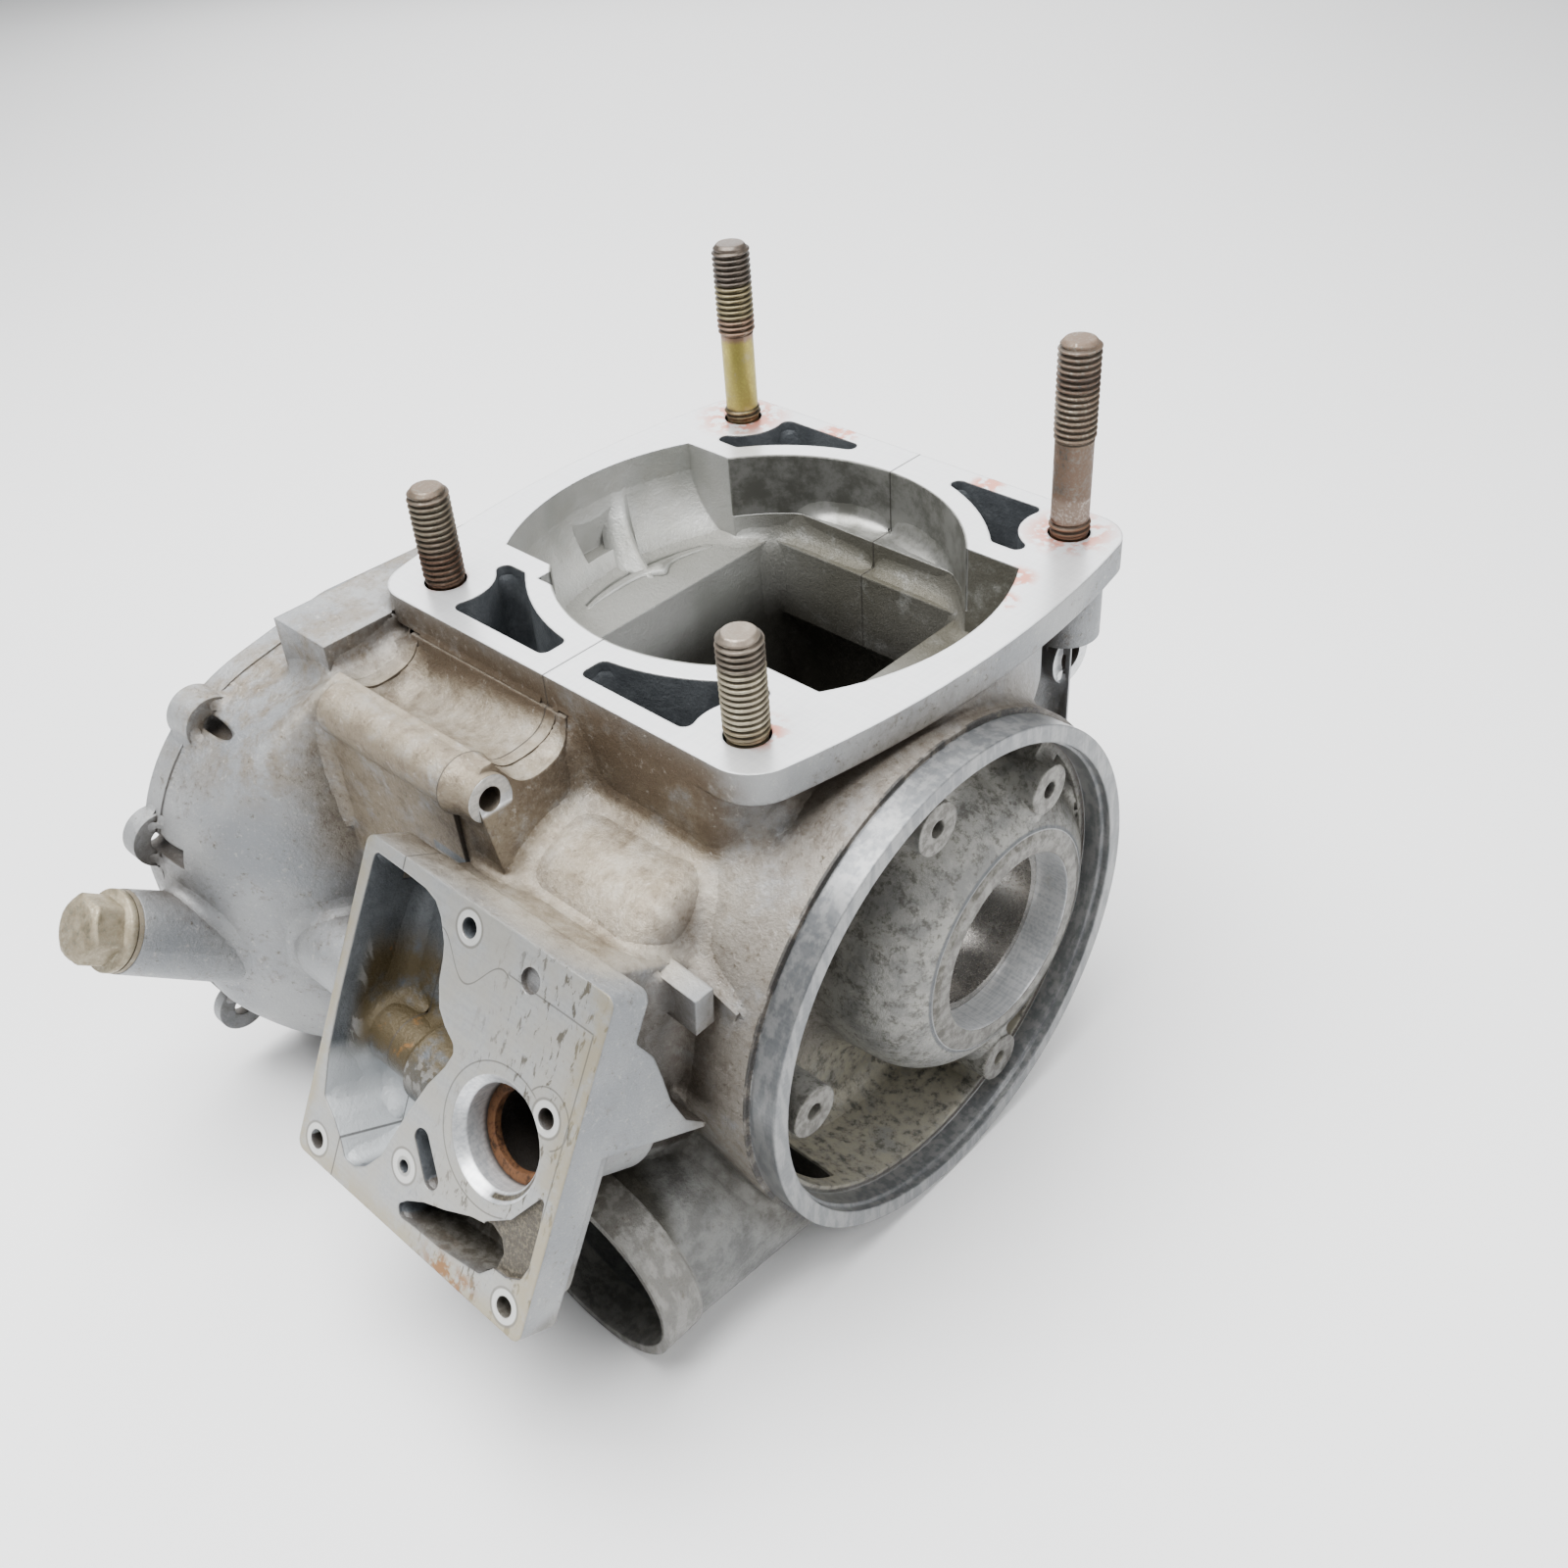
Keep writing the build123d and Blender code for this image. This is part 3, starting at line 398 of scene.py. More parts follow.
class Casting:
    """The look of both castings: cast and machined faces, stains, rust and dirt, and painted light and shade.
    """

    def __init__(self, name):
        g = self.g = Graph(name)
        self.down, self.depth = flange_frame(g)
        self.masks = machined_masks(g, self.down, self.depth)
        self.machined = g.either(*self.masks.values())
        self.broad = g.noise(45.0, 3.0)
        self.patches = g.noise(12.0, 9.0, 0.7)
        self.spots = g.noise(3.4, 7.0, 0.7)
        self.grit = g.noise(1.0, 4.0, 0.75)
        self.streaks = g.noise(3.0, 4.0, 0.6, stretch=(1.0, 1.0, 0.25))
        scratch = g.noise(0.9, 3.0, 0.5, stretch=(0.06, 1.0, 1.0))
        cross = g.noise(0.9, 3.0, 0.5, stretch=(1.0, 0.08, 1.0))
        self.marks = g.times(g.plus(scratch, cross), 0.5)
        self.ring = g.distance("x", (RING_Y, RING_Z))
        self.hub = g.distance("x", (0.0, 0.0))
        self.seat = g.distance("z", (0.0, SEAT_Y))
        self.color = g.mix(g.step(self.broad, 0.35, 0.65), *CAST_GREY)

    def tinted(self, color, mask, tone, between=None):
        """The colour with a tone over it where the mask is 1. between mixes a pair of tones."""
        if between is not None:
            tone = self.g.mix(between, *tone)
        return self.g.mix(mask, color, tone)

    def tint(self, mask, tone, between=None):
        self.color = self.tinted(self.color, mask, tone, between)

    def cast_faces(self):
        """Grey metal, tan on the front and round the gear chamber, brown with painted shade on the walls
        under the deck, with grime, painted light on the faces turned up, and painted shade in the corners.
        """
        g, patches = self.g, self.patches
        self.tint(g.times(g.step(self.grit, 0.52, 0.68), 0.3), CAST_GLINT)
        front = g.block((-62.0, 62.0), (-122.0, -66.0), (22.0, 92.0), 20.0)
        housing = g.both(g.step(self.ring, RIM_R + 14.0, RIM_R - 2.0), g.within(g.x, 30.0, 96.0, 16.0),
                         g.step(self.ring, CAVITY_R + 0.5, RIM_R - 3.0), 0.7)
        roof = g.both(g.block((-112.0, -50.0), (-150.0, 60.0), (52.0, 92.0), 22.0),
                      g.step(patches, 0.4, 0.62), 0.8)
        brown = g.either(front, housing, roof)
        self.tint(g.both(brown, g.step(patches, 0.26, 0.52), 0.9), TAN)
        # Walls under the deck: brown stain, and painted shade on the faces not turned up, deeper towards the
        # deck's edge
        tower = g.block((-66.0, 66.0), (-100.0, -70.0), (50.0, 93.0), 14.0)
        higher = g.step(g.plus(patches, g.times(g.z, 0.006)), 0.75, 1.05)
        self.tint(g.both(tower, higher, g.step(g.nz, 0.75, 0.35), 0.9), TOWER_BROWN_AND_SHADE)
        grimy = g.either(g.times(brown, 0.75), g.times(g.step(patches, 0.5, 0.66), 0.6))
        self.tint(g.both(g.step(self.spots, 0.47, 0.62), grimy, 0.7), GRIME)
        flecks = g.step(g.noise(1.7, 6.0, 0.75), 0.585, 0.65)
        self.tint(g.both(flecks, g.step(patches, 0.42, 0.58), 0.8), GRIME_FLECK)
        self.tint(g.both(g.step(g.noise(2.2, 5.0, 0.7), 0.58, 0.70), 0.35), WORN_METAL)
        # Painted light: the front's faces turned up are made paler, as if lit from above
        top = g.both(g.block((-66.0, 70.0), (-124.0, -76.0), (30.0, 84.0), 16.0),
                     g.step(g.nz, 0.35, 0.75), g.step(patches, 0.66, 0.4))
        self.tint(g.times(top, 0.55), TOP_PAINTED_LIGHT)
        # Painted shade: darker in corners and hollows, from occlusion
        uneven = g.times(g.minus(self.spots, 0.5), 0.5)
        corner = g.step(g.plus(g.shelter(20.0), uneven), 0.12, 0.62)
        self.tint(g.times(corner, 0.92), CORNER_SHADE)

    def air_duct(self):
        """Dull outside, near black inside the bore as painted shade, scraped bare on its lip."""
        g, patches = self.g, self.patches
        duct = g.both(g.step(g.length(g.minus(g.x, DUCT_X), g.minus(g.z, DUCT_Z)), 40.0, 36.0),
                      g.step(g.y, -62.0, -70.0), g.step(g.z, -6.0, -10.0))
        lip = g.step(g.y, DUCT_MOUTH_Y + 13.0, DUCT_MOUTH_Y + 12.0)
        self.tint(g.both(duct, g.inverse(lip), 0.75), DUCT_OUTSIDE, g.step(patches, 0.4, 0.62))
        self.tint(g.both(duct, lip, 0.7), DUCT_LIP, g.step(self.streaks, 0.42, 0.6))
        # Painted shade: near black deep inside the duct's bore
        across = g.math("DIVIDE", g.minus(g.x, DUCT_BORE[0]), DUCT_BORE_RX)
        upright = g.math("DIVIDE", g.minus(g.z, DUCT_BORE[1]), DUCT_BORE_RZ)
        bore = g.both(g.step(g.length(across, upright), 1.0, 0.985), g.step(g.y, -60.0, -62.0))
        self.tint(g.both(bore, 0.92), DUCT_INSIDE_SHADE, g.step(patches, 0.4, 0.7))

    def magneto_room(self):
        """Mottled hub with a dark chamfer, oil and painted shade behind it, beige low down with painted
        light.
        """
        g, hub = self.g, self.hub
        room = g.both(g.step(self.ring, CAVITY_R + 1.2, CAVITY_R + 0.6),
                      g.step(g.x, CAVITY_FLOOR - 2, CAVITY_FLOOR - 1))
        self.tint(g.both(room, 0.75), MAGNETO_ROOM, g.step(self.patches, 0.4, 0.6))
        mottle = g.step(g.plus(self.spots, g.times(self.grit, 0.5)), 0.72, 0.9)
        self.tint(g.both(room, mottle, 0.75), MAGNETO_MOTTLE)
        # Beige low in the magneto room, made paler as painted light falling in from above
        sump = g.both(room, g.step(g.z, -22.0, -38.0), g.step(hub, HUB_R - 2, HUB_R + 4),
                      g.step(self.patches, 0.64, 0.5))
        self.tint(g.both(sump, g.step(self.spots, 0.66, 0.42), 0.8), SUMP_BEIGE_AND_LIGHT)
        # Oil and painted shade on the walls deep behind the hub
        oily = g.both(room, g.step(g.x, 74.0, 60.0), g.step(hub, HUB_R - 4, HUB_R + 6),
                      g.step(g.z, -44.0, -20.0))
        self.tint(g.times(oily, 0.6), OIL_AND_SHADE)
        chamfer = g.both(g.within(hub, HUB_FACE_R + 0.2, HUB_FACE_R + 3.4, 0.6), g.step(g.x, 84.0, 86.0))
        self.tint(g.both(chamfer, 0.85), HUB_CHAMFER)

    def pockets(self):
        """Smooth deck pockets and the flange's large pocket, coloured dark as painted shade, the flange's
        with its band of rust.
        """
        g, depth = self.g, self.depth
        aside = g.absolute(g.y)
        # Painted shade: the pockets are coloured dark blue-grey
        dark = g.mix(g.step(self.patches, 0.35, 0.65), *POCKET_SHADE)
        self.deck_pocket = g.both(g.within(g.z, DECK_Z - DECK_POCKET_DEPTH - 1, DECK_Z - 0.3, 0.3),
                                  g.step(self.seat, SEAT_R + 2.4, SEAT_R + 3.0),
                                  g.within(g.x, -60.0, 60.0, 1.0),
                                  g.step(aside, 40.0, 41.0), g.step(aside, 72.0, 71.5))
        self.tint(g.both(self.deck_pocket, 0.9), dark)
        pocket = g.both(g.within(g.x, -13.5, 33.5, 0.6), g.within(self.down, 3.2, 86.0, 0.6),
                        g.within(depth, 0.3, 21.0, 0.3))
        pale = g.both(g.step(self.down, 58.0, 66.0), g.step(g.x, 10.0, 4.0))
        self.tint(g.both(pocket, g.inverse(pale), 0.92), dark)
        self.tint(g.both(pocket, pale, 0.8), POCKET_PALE)
        band = g.both(pocket, g.within(self.down, 30.0, 62.0, 14.0), g.step(depth, 3.0, 9.0))
        self.tint(g.both(band, g.step(self.patches, 0.3, 0.5)), POCKET_BROWN)
        self.tint(g.both(band, g.step(self.patches, 0.56, 0.66), g.step(self.streaks, 0.5, 0.6)), POCKET_RUST)
        self.tint(g.both(band, g.step(depth, 9.0, 5.0), g.step(self.streaks, 0.5, 0.56)), POCKET_BARE)

    def crank_room(self):
        """Crank room and seat, stained grey-green and brown by old oil, with painted shade near black deep
        down.
        """
        g = self.g
        below = g.both(g.within(g.x, -39.0, 39.0, 0.6),
                       g.either(g.step(self.hub, CRANK_R + 2.0, CRANK_R + 1.0), g.step(g.z, 30.0, 31.0)))
        room = g.both(g.step(self.seat, 75.0, 73.5), g.within(g.z, -70.0, DECK_Z - 0.3, 0.4),
                      g.within(g.x, -74.0, 74.0, 1.0), g.step(g.absolute(g.y), 62.0, 61.0),
                      g.inverse(self.deck_pocket), g.either(g.step(g.z, LEDGE_Z - 4.0, LEDGE_Z - 3.0), below))
        self.tint(g.both(room, 0.8), ROOM, g.step(self.broad, 0.35, 0.6))
        self.tint(g.both(room, g.step(g.nz, 0.6, 0.85), 0.75), ROOM_LEDGE)
        back = g.step(g.plus(g.y, g.times(g.x, 0.35)), 12.0, 46.0)
        self.tint(g.both(room, back, g.step(self.patches, 0.2, 0.5), 0.85), ROOM_STAIN)
        # Painted shade: near black deep down in the crank room
        self.tint(g.both(room, g.step(g.z, LEDGE_Z - 4.0, 36.0), 0.93), ROOM_DEPTH_SHADE)

    def machined_faces(self):
        """Milled and turned faces with tool marks, scratches and stains."""
        g, masks, patches, spots = self.g, self.masks, self.patches, self.spots
        flange = masks["flange"]
        cut = g.mix(g.step(self.marks, 0.38, 0.6), *CUT_METAL)
        cut = self.tinted(cut, g.both(g.step(patches, 0.56, 0.7), 0.4), CUT_DULL)
        cut = self.tinted(cut, g.both(masks["deck"], 0.7), CUT_DECK)
        cut = self.tinted(cut, g.both(g.either(masks["rim"], masks["hub"]), 0.85), CUT_MAGNETO,
                          g.step(self.streaks, 0.42, 0.6))
        cut = self.tinted(cut, g.both(masks["hub"], g.step(spots, 0.46, 0.6), 0.8), CUT_HUB_SPOT)
        cut = self.tinted(cut, masks["seat"], CUT_SEAT, g.step(patches, 0.4, 0.6))
        cut = self.tinted(cut, g.both(flange, 0.7), CUT_FLANGE)
        cut = self.tinted(cut, masks["bosses"], CUT_BOSS, g.step(spots, 0.4, 0.6))
        cut = self.tinted(cut, g.both(flange, g.step(patches, 0.35, 0.6), 0.6), FLANGE_STAIN)
        corroded = g.step(g.plus(g.x, g.times(self.down, 0.12)), 30.0, 62.0)
        flecks = g.noise(2.6, 5.0, 0.65, stretch=(1.4, 0.5, 0.5), distortion=0.4)
        cut = self.tinted(cut, g.both(flange, corroded, g.step(flecks, 0.56, 0.64), 0.85), FLANGE_SPECKLE)
        edges = g.either(g.step(g.x, 66.0, 74.0), g.step(self.down, 84.0, 92.0), g.step(g.x, -11.0, -15.0))
        cut = self.tinted(cut, g.both(flange, edges, g.step(patches, 0.3, 0.55), 0.65), FLANGE_YELLOW)
        self.color = g.mix(self.machined, self.color, cut)

    def flange_marks(self):
        """Corroded recess, rusty notch, edges of the milled steps drawn as painted shade, painted shade deep
        in the pump bore, and the screw holes' cones.
        """
        g, down, depth, flange = self.g, self.down, self.depth, self.masks["flange"]
        recess = g.both(g.step(g.absolute(depth), 2.2, 1.6), g.within(g.x, 55.0, 74.0, 1.5),
                        g.within(down, 52.0, 80.0, 2.0), g.step(depth, 0.5, 0.9))
        self.tint(recess, RECESS, g.step(self.grit, 0.45, 0.65))
        notch = g.both(g.within(g.x, 40.0, 58.0, 8.0), g.within(down, 87.0, 94.0, 4.0),
                       g.within(depth, -1.0, 6.0, 2.0), g.step(self.spots, 0.42, 0.56))
        self.tint(notch, NOTCH_RUST)

        # Thin dark lines along the milled steps: painted shade of their small walls
        turn = g.math("SINE", g.times(g.minus(g.x, 24.0), 0.27))
        wave = g.plus(g.times(turn, 4.6), 15.5)
        wavy = g.both(g.line(down, wave, 0.32, 0.14), g.within(g.x, 15.0, 44.0, 0.5))
        right = g.both(g.line(g.x, 73.0), g.within(down, 11.0, 60.0, 2.0))
        upper = g.both(g.line(down, 11.0), g.within(g.x, 43.5, 73.0, 0.5))
        around = flange_distance(g, down, PUMP_BORE)
        pad = g.both(g.line(around, 18.6), g.step(g.minus(g.x, PUMP_BORE[0]), 10.0, 8.0))
        ear = g.both(g.line(flange_distance(g, down, FLANGE_HOLES[1]), 7.4), g.step(around, 18.0, 19.0))
        self.tint(g.both(flange, g.either(wavy, right, upper, pad, ear), 0.55), STEP_SHADE_LINE)
        # Painted shade: near black deep in the pump bore
        deep = g.both(g.step(around, PUMP_BORE_R + 1.0, PUMP_BORE_R), g.step(depth, 7.0, 9.0),
                      g.step(g.y, -60.0, -70.0))
        self.tint(g.both(deep, 0.9), BORE_SHADE)

        for hole in FLANGE_HOLES:
            near = flange_distance(g, down, hole)
            self.tint(g.both(flange, g.within(near, 2.6, 4.4, 0.5)), SCREW_CONE)
            self.tint(g.both(flange, g.within(near, 4.3, 5.0, 0.4), 0.7), SCREW_RING)

    def paint_and_joints(self):
        """Red sealing paint on the deck, the hairline between the castings, the step behind the rim."""
        g = self.g
        smears = g.either(*[g.step(g.distance("z", (x, y)), size, size * 0.4) for x, y, size in SMEARS])
        broken = g.step(g.noise(4.0, 4.0, 0.6), 0.42, 0.54)
        self.tint(g.both(self.masks["deck"], smears, broken, 0.8), SEALING_RED)
        seam = g.both(g.line(g.x, 0.0, 0.35, 0.12), g.step(g.z, -66.0, -60.0))
        self.tint(g.times(seam, 0.75), SEAM_DARK)
        groove = g.both(g.within(g.x, RIM_BACK - 0.8, RIM_BACK + 0.4, 0.4),
                        g.step(self.ring, RIM_R - 1.5, RIM_R - 0.8), g.step(self.patches, 0.44, 0.54))
        self.tint(g.times(groove, 0.85), GROOVE_DARK)

    def material(self):
        g = self.g
        self.cast_faces()
        self.air_duct()
        self.magneto_room()
        self.pockets()
        self.crank_room()
        self.machined_faces()
        self.flange_marks()
        self.paint_and_joints()
        cast_gloss = g.blend(g.step(self.grit, 0.3, 0.7), 0.34, 0.58)
        rough = g.blend(self.machined, cast_gloss, g.blend(self.marks, 0.24, 0.38))
        metallic = g.blend(self.machined, 0.42, 0.6)
        height = g.plus(self.grit, g.times(self.spots, 1.4))
        height = g.times(height, g.inverse(self.machined))
        return g.finish(self.color, rough, metallic, g.bump(height, 0.6, 0.45, g.soft_edges(0.9)))


def steel_material(name, light, dark, rust, rust_amount, roughness):
    """Plated or bare steel with patches of rust, and painted shade in its crevices."""
    g = Graph(name)
    patches = g.noise(5.0, 5.0, 0.65)
    grit = g.noise(0.9, 4.0, 0.7)
    shelter = g.shelter(1.6)
    color = g.mix(g.step(patches, 0.35, 0.65), dark, light)
    rusted = g.both(g.step(g.plus(grit, g.times(patches, 0.6)), 0.62, 0.86), rust_amount)
    color = g.mix(rusted, color, rust)
    # Painted shade in the crevices, from occlusion
    color = g.mix(g.times(g.step(shelter, 0.25, 0.8), 0.7), color, STEEL_CREVICE_SHADE)
    rough = g.blend(rusted, g.blend(grit, roughness - 0.06, roughness + 0.14), 0.8)
    metallic = g.blend(rusted, 0.85, 0.1)
    return g.finish(color, rough, metallic, g.bump(grit, 0.3, 0.15, g.soft_edges(0.2)))


def stud_material(name, place, bands, rust_amount):
    """A stud's worn plating, with painted shade in the thread roots. bands lists (height above the deck,
    colour) from the foot to the tip.
    """
    g = Graph(name)
    x, y, out = place
    patches = g.noise(4.0, 5.0, 0.65)
    grit = g.noise(0.8, 4.0, 0.7)
    height = g.plus(g.minus(g.z, DECK_Z), g.times(patches, 4.0))
    color = bands[0][1]
    for start, tint in bands[1:]:
        color = g.mix(g.step(height, start + 1.0, start + 3.0), color, tint)
    color = g.mix(g.both(g.step(patches, 0.55, 0.7), 0.25), color, STUD_WORN)
    rusted = g.both(g.step(g.plus(grit, g.times(patches, 0.7)), 0.66, 0.9), rust_amount)
    color = g.mix(rusted, color, STUD_RUST)
    away = g.distance("z", (x, y))
    tip = DECK_Z + out
    # Painted shade in the thread roots
    root = g.both(g.step(away, STUD_R - 0.15, STUD_R - 0.6), g.step(g.z, tip - 1.2, tip - 2.0),
                  g.step(g.absolute(g.nz), 0.12, 0.3))
    color = g.mix(g.times(root, 0.8), color, THREAD_ROOT_SHADE)
    rough = g.blend(rusted, 0.33, 0.75)
    metallic = g.blend(rusted, 0.8, 0.1)
    return g.finish(color, rough, metallic, g.bump(grit, 0.25, 0.12, g.soft_edges(0.15)))


# Mesh helpers

def new_piece(name, coords_mm, faces, material, replaced=None):
    """A mesh in the row frame that rides on the fixed body."""
    mesh = bpy.data.meshes.new(name)
    mesh.from_pydata([tuple(c) for c in np.asarray(coords_mm) * MM], [], faces)
    mesh.materials.append(material)
    for polygon in mesh.polygons:
        polygon.use_smooth = True
    mesh.update()
    piece = bpy.data.objects.new(name, mesh)
    bpy.context.scene.collection.objects.link(piece)
    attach(piece, "root")
    if replaced is not None:
        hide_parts(replaced)
    return piece


def turned(rows, columns, radius, caps=(True, True)):
    """Coordinates and faces of a body round Z. rows lists heights and radius(height, angle) is its size."""
    coords, faces = [], []
    for z in rows:
        for k in range(columns):
            angle = 2 * math.pi * k / columns
            r = radius(z, angle)
            coords.append((r * math.cos(angle), r * math.sin(angle), z))
    for i in range(len(rows) - 1):
        for k in range(columns):
            a, b = i * columns + k, i * columns + (k + 1) % columns
            faces.append((a, b, b + columns, a + columns))
    if caps[0]:
        faces.append(tuple(reversed(range(columns))))
    if caps[1]:
        faces.append(tuple(range((len(rows) - 1) * columns, len(rows) * columns)))
    return coords, faces


def thread_wave(turn):
    """Height of a metric thread, 0 at its root and 1 at its crest, over one turn."""
    phase = turn % 1.0
    slope = abs(2.0 * phase - 1.0)
    return min(1.0, max(0.0, (slope - 0.12) / 0.72))


def stud_piece(node, place, threads, shank_r, material):
    """A stud with real threads over the (low, high) stretches above the deck."""
    x, y, out = place
    root = STUD_R - THREAD_DEPTH * STUD_PITCH
    chamfer_foot = out - STUD_TIP

    def radius(z, angle):
        threaded = max(min((z - low) / THREAD_RUN_OUT, (high - z) / THREAD_RUN_OUT, 1.0)
                       for low, high in threads)
        crest = root + (STUD_R - root) * thread_wave(z / STUD_PITCH - angle / (2 * math.pi))
        r = shank_r if threaded <= 0 else crest + (shank_r - crest) * (1 - threaded)
        if z < 0.2:
            r = STUD_R - 0.75
        over = z - chamfer_foot
        if over > 0:
            r = min(r, STUD_R - 0.3 - 1.5 * over / STUD_TIP)
        return r

    step = STUD_PITCH / 7.0
    rows = [-STUD_DEPTH, -0.4, 0.0, *np.arange(0.3, chamfer_foot, step)]
    rows += [out - STUD_TIP * (1 - f) for f in (0.15, 0.35, 0.55, 0.75, 0.9)]
    coords, faces = turned(rows, STUD_SIDES, radius, caps=(True, False))
    last = coords[-STUD_SIDES:]
    for share, height in ((0.93, 0.97), (0.8, 1.0), (0.5, 1.0), (0.2, 1.0)):
        base = len(coords)
        outer = base - STUD_SIDES
        coords += [(a * share, b * share, out - STUD_TIP * (1 - height)) for a, b, _ in last]
        for k in range(STUD_SIDES):
            after = (k + 1) % STUD_SIDES
            faces.append((outer + k, outer + after, base + after, base + k))
    faces.append(tuple(range(len(coords) - STUD_SIDES, len(coords))))
    coords = [(x + a, y + b, DECK_Z + c) for a, b, c in coords]
    return new_piece(node + "_threaded", coords, faces, material, node)


def plug_piece(material):
    """Hexagon plug with a round chamfered end and a collar, as turned and milled."""
    axis = Vector(SPOUT_AXIS)
    side = Vector((1.0, 0.0, 0.0))
    up = axis.cross(side)
    flat = PLUG_HEX_R * math.cos(math.pi / 6)
    base = WASHER_THICK
    collar = base + PLUG_FLANGE_THICK
    end = collar + PLUG_HEX_LENGTH

    def radius(z, angle):
        if z < base:
            return PLUG_THREAD_R
        if z <= collar:
            edge = min(z - base, collar - z)
            return PLUG_FLANGE_R - max(0.0, 0.5 - edge) * 0.8
        part = (angle % (math.pi / 3)) - math.pi / 6
        hexagon = min(flat / math.cos(part), PLUG_HEX_R - 0.25)
        chamfer = flat - 1.3 + (end - z) * 1.75
        return min(hexagon, chamfer)

    rows = [-PLUG_THREAD_LENGTH, base - 0.01, base, base + 0.25, base + 0.5]
    rows += [collar - 0.5, collar - 0.25, collar, collar + 0.01, collar + 0.5]
    rows += [*np.linspace(collar + 2.0, end - 2.4, 4)]
    rows += [end - 2.0, end - 1.6, end - 1.2, end - 0.8, end - 0.4, end - 0.15, end]
    coords, faces = turned(rows, 96, radius)
    origin = Vector(SPOUT) + axis * SPOUT_LENGTH
    coords = [origin + side * a + up * b + axis * c for a, b, c in coords]
    return new_piece("filler_plug_milled", coords, faces, material, "filler_plug")


def lobe_web(material):
    """Curved cast web on the wall of the seat's left lobe, deepest at its foot."""
    coords, faces = [], []
    for i in range(WEB_ROWS):
        t = i / (WEB_ROWS - 1)
        z = LEDGE_Z - 0.5 + (DECK_Z - 6.0 - LEDGE_Z) * t
        up = min(1.0, max(0.0, (z - LEDGE_Z) / (DECK_Z - 3.0 - LEDGE_Z)))
        wall = LOBE_FOOT_R + (LOBE_R - LOBE_FOOT_R) * (1.0 - (1.0 - up) ** 2.8)
        turn = math.pi - WEB_ANGLE + 0.10 * (1.0 - t) ** 2
        reach = 12.5 * (1.0 - t) ** 1.7 - 0.6
        for r, half in ((wall + 2.0, 6.5), (wall - 0.25 * reach, 2.4), (wall - 0.75 * reach, 1.2),
                        (wall - reach, 0.5)):
            for sign in (-1.0, 1.0):
                angle = turn + sign * half / r
                coords.append((r * math.cos(angle), SEAT_Y + r * math.sin(angle), z))
    loop = (0, 2, 4, 6, 7, 5, 3, 1)
    for i in range(WEB_ROWS - 1):
        low, high = i * 8, (i + 1) * 8
        for k in range(8):
            a, b = loop[k], loop[(k + 1) % 8]
            faces.append((low + a, low + b, high + b, high + a))
    faces.append(tuple(reversed(loop)))
    top = (WEB_ROWS - 1) * 8
    faces.append(tuple(top + k for k in loop))
    return new_piece("seat_web", coords, faces, material)


def ledge_ridge(material):
    """Wavy raised ridge that the core left on the left ledge, with a small round swelling."""
    coords, faces = [], []
    for i in range(RIDGE_ROWS):
        t = i / (RIDGE_ROWS - 1)
        angle = math.radians(150.0 + 52.0 * t)
        r = 57.5 - 2.0 * math.sin(math.pi * t) - 3.4 * math.exp(-((t - 0.42) / 0.09) ** 2)
        size = 1.8 * math.sin(math.pi * (t * 0.94 + 0.03)) ** 0.4
        size += 1.4 * math.exp(-((t - 0.42) / 0.06) ** 2)
        for k in range(9):
            around = math.pi * k / 8
            out = r + size * math.cos(around)
            coords.append((out * math.cos(angle), SEAT_Y + out * math.sin(angle),
                           LEDGE_Z - 0.3 + size * 0.95 * math.sin(around)))
    for i in range(RIDGE_ROWS - 1):
        for k in range(8):
            a = i * 9 + k
            faces.append((a, a + 9, a + 10, a + 1))
        faces.append((i * 9, i * 9 + 8, i * 9 + 17, i * 9 + 9))
    faces.append(tuple(range(9)))
    faces.append(tuple(reversed(range((RIDGE_ROWS - 1) * 9, RIDGE_ROWS * 9))))
    return new_piece("ledge_ridge", coords, faces, material)


# Cast fillets

def grid_of(node):
    """An even grid of squares over a casting, with its edges and squares, in millimetres."""
    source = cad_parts[node]
    mesh = source.data.copy()
    mesh.transform(source.matrix_world)
    work = bmesh.new()
    work.from_mesh(mesh)
    bmesh.ops.remove_doubles(work, verts=work.verts, dist=1e-6)
    work.to_mesh(mesh)
    work.free()
    holder = bpy.data.objects.new(node + "_grid", mesh)
    bpy.context.scene.collection.objects.link(holder)
    remesh = holder.modifiers.new("grid", "REMESH")
    remesh.mode = "VOXEL"
    remesh.voxel_size = FILLET_GRID * MM
    even = holder.evaluated_get(bpy.context.evaluated_depsgraph_get()).to_mesh()
    coords = np.empty(len(even.vertices) * 3)
    even.vertices.foreach_get("co", coords)
    edges = np.empty(len(even.edges) * 2, int)
    even.edges.foreach_get("vertices", edges)
    corners = np.empty(len(even.loops), int)
    even.loops.foreach_get("vertex_index", corners)
    bpy.data.objects.remove(holder)
    bpy.data.meshes.remove(mesh)
    return coords.reshape(-1, 3) / MM, edges.reshape(-1, 2), corners.reshape(-1, 4)


def outward(coords, squares):
    """Unit normals of the grid's points."""
    a, b, c, d = (coords[squares[:, corner]] for corner in range(4))
    face = np.cross(c - a, d - b)
    normal = np.zeros_like(coords)
    for corner in range(4):
        for axis in range(3):
            normal[:, axis] += np.bincount(squares[:, corner], face[:, axis], len(coords))
    return normal / (np.linalg.norm(normal, axis=1)[:, None] + 1e-12)


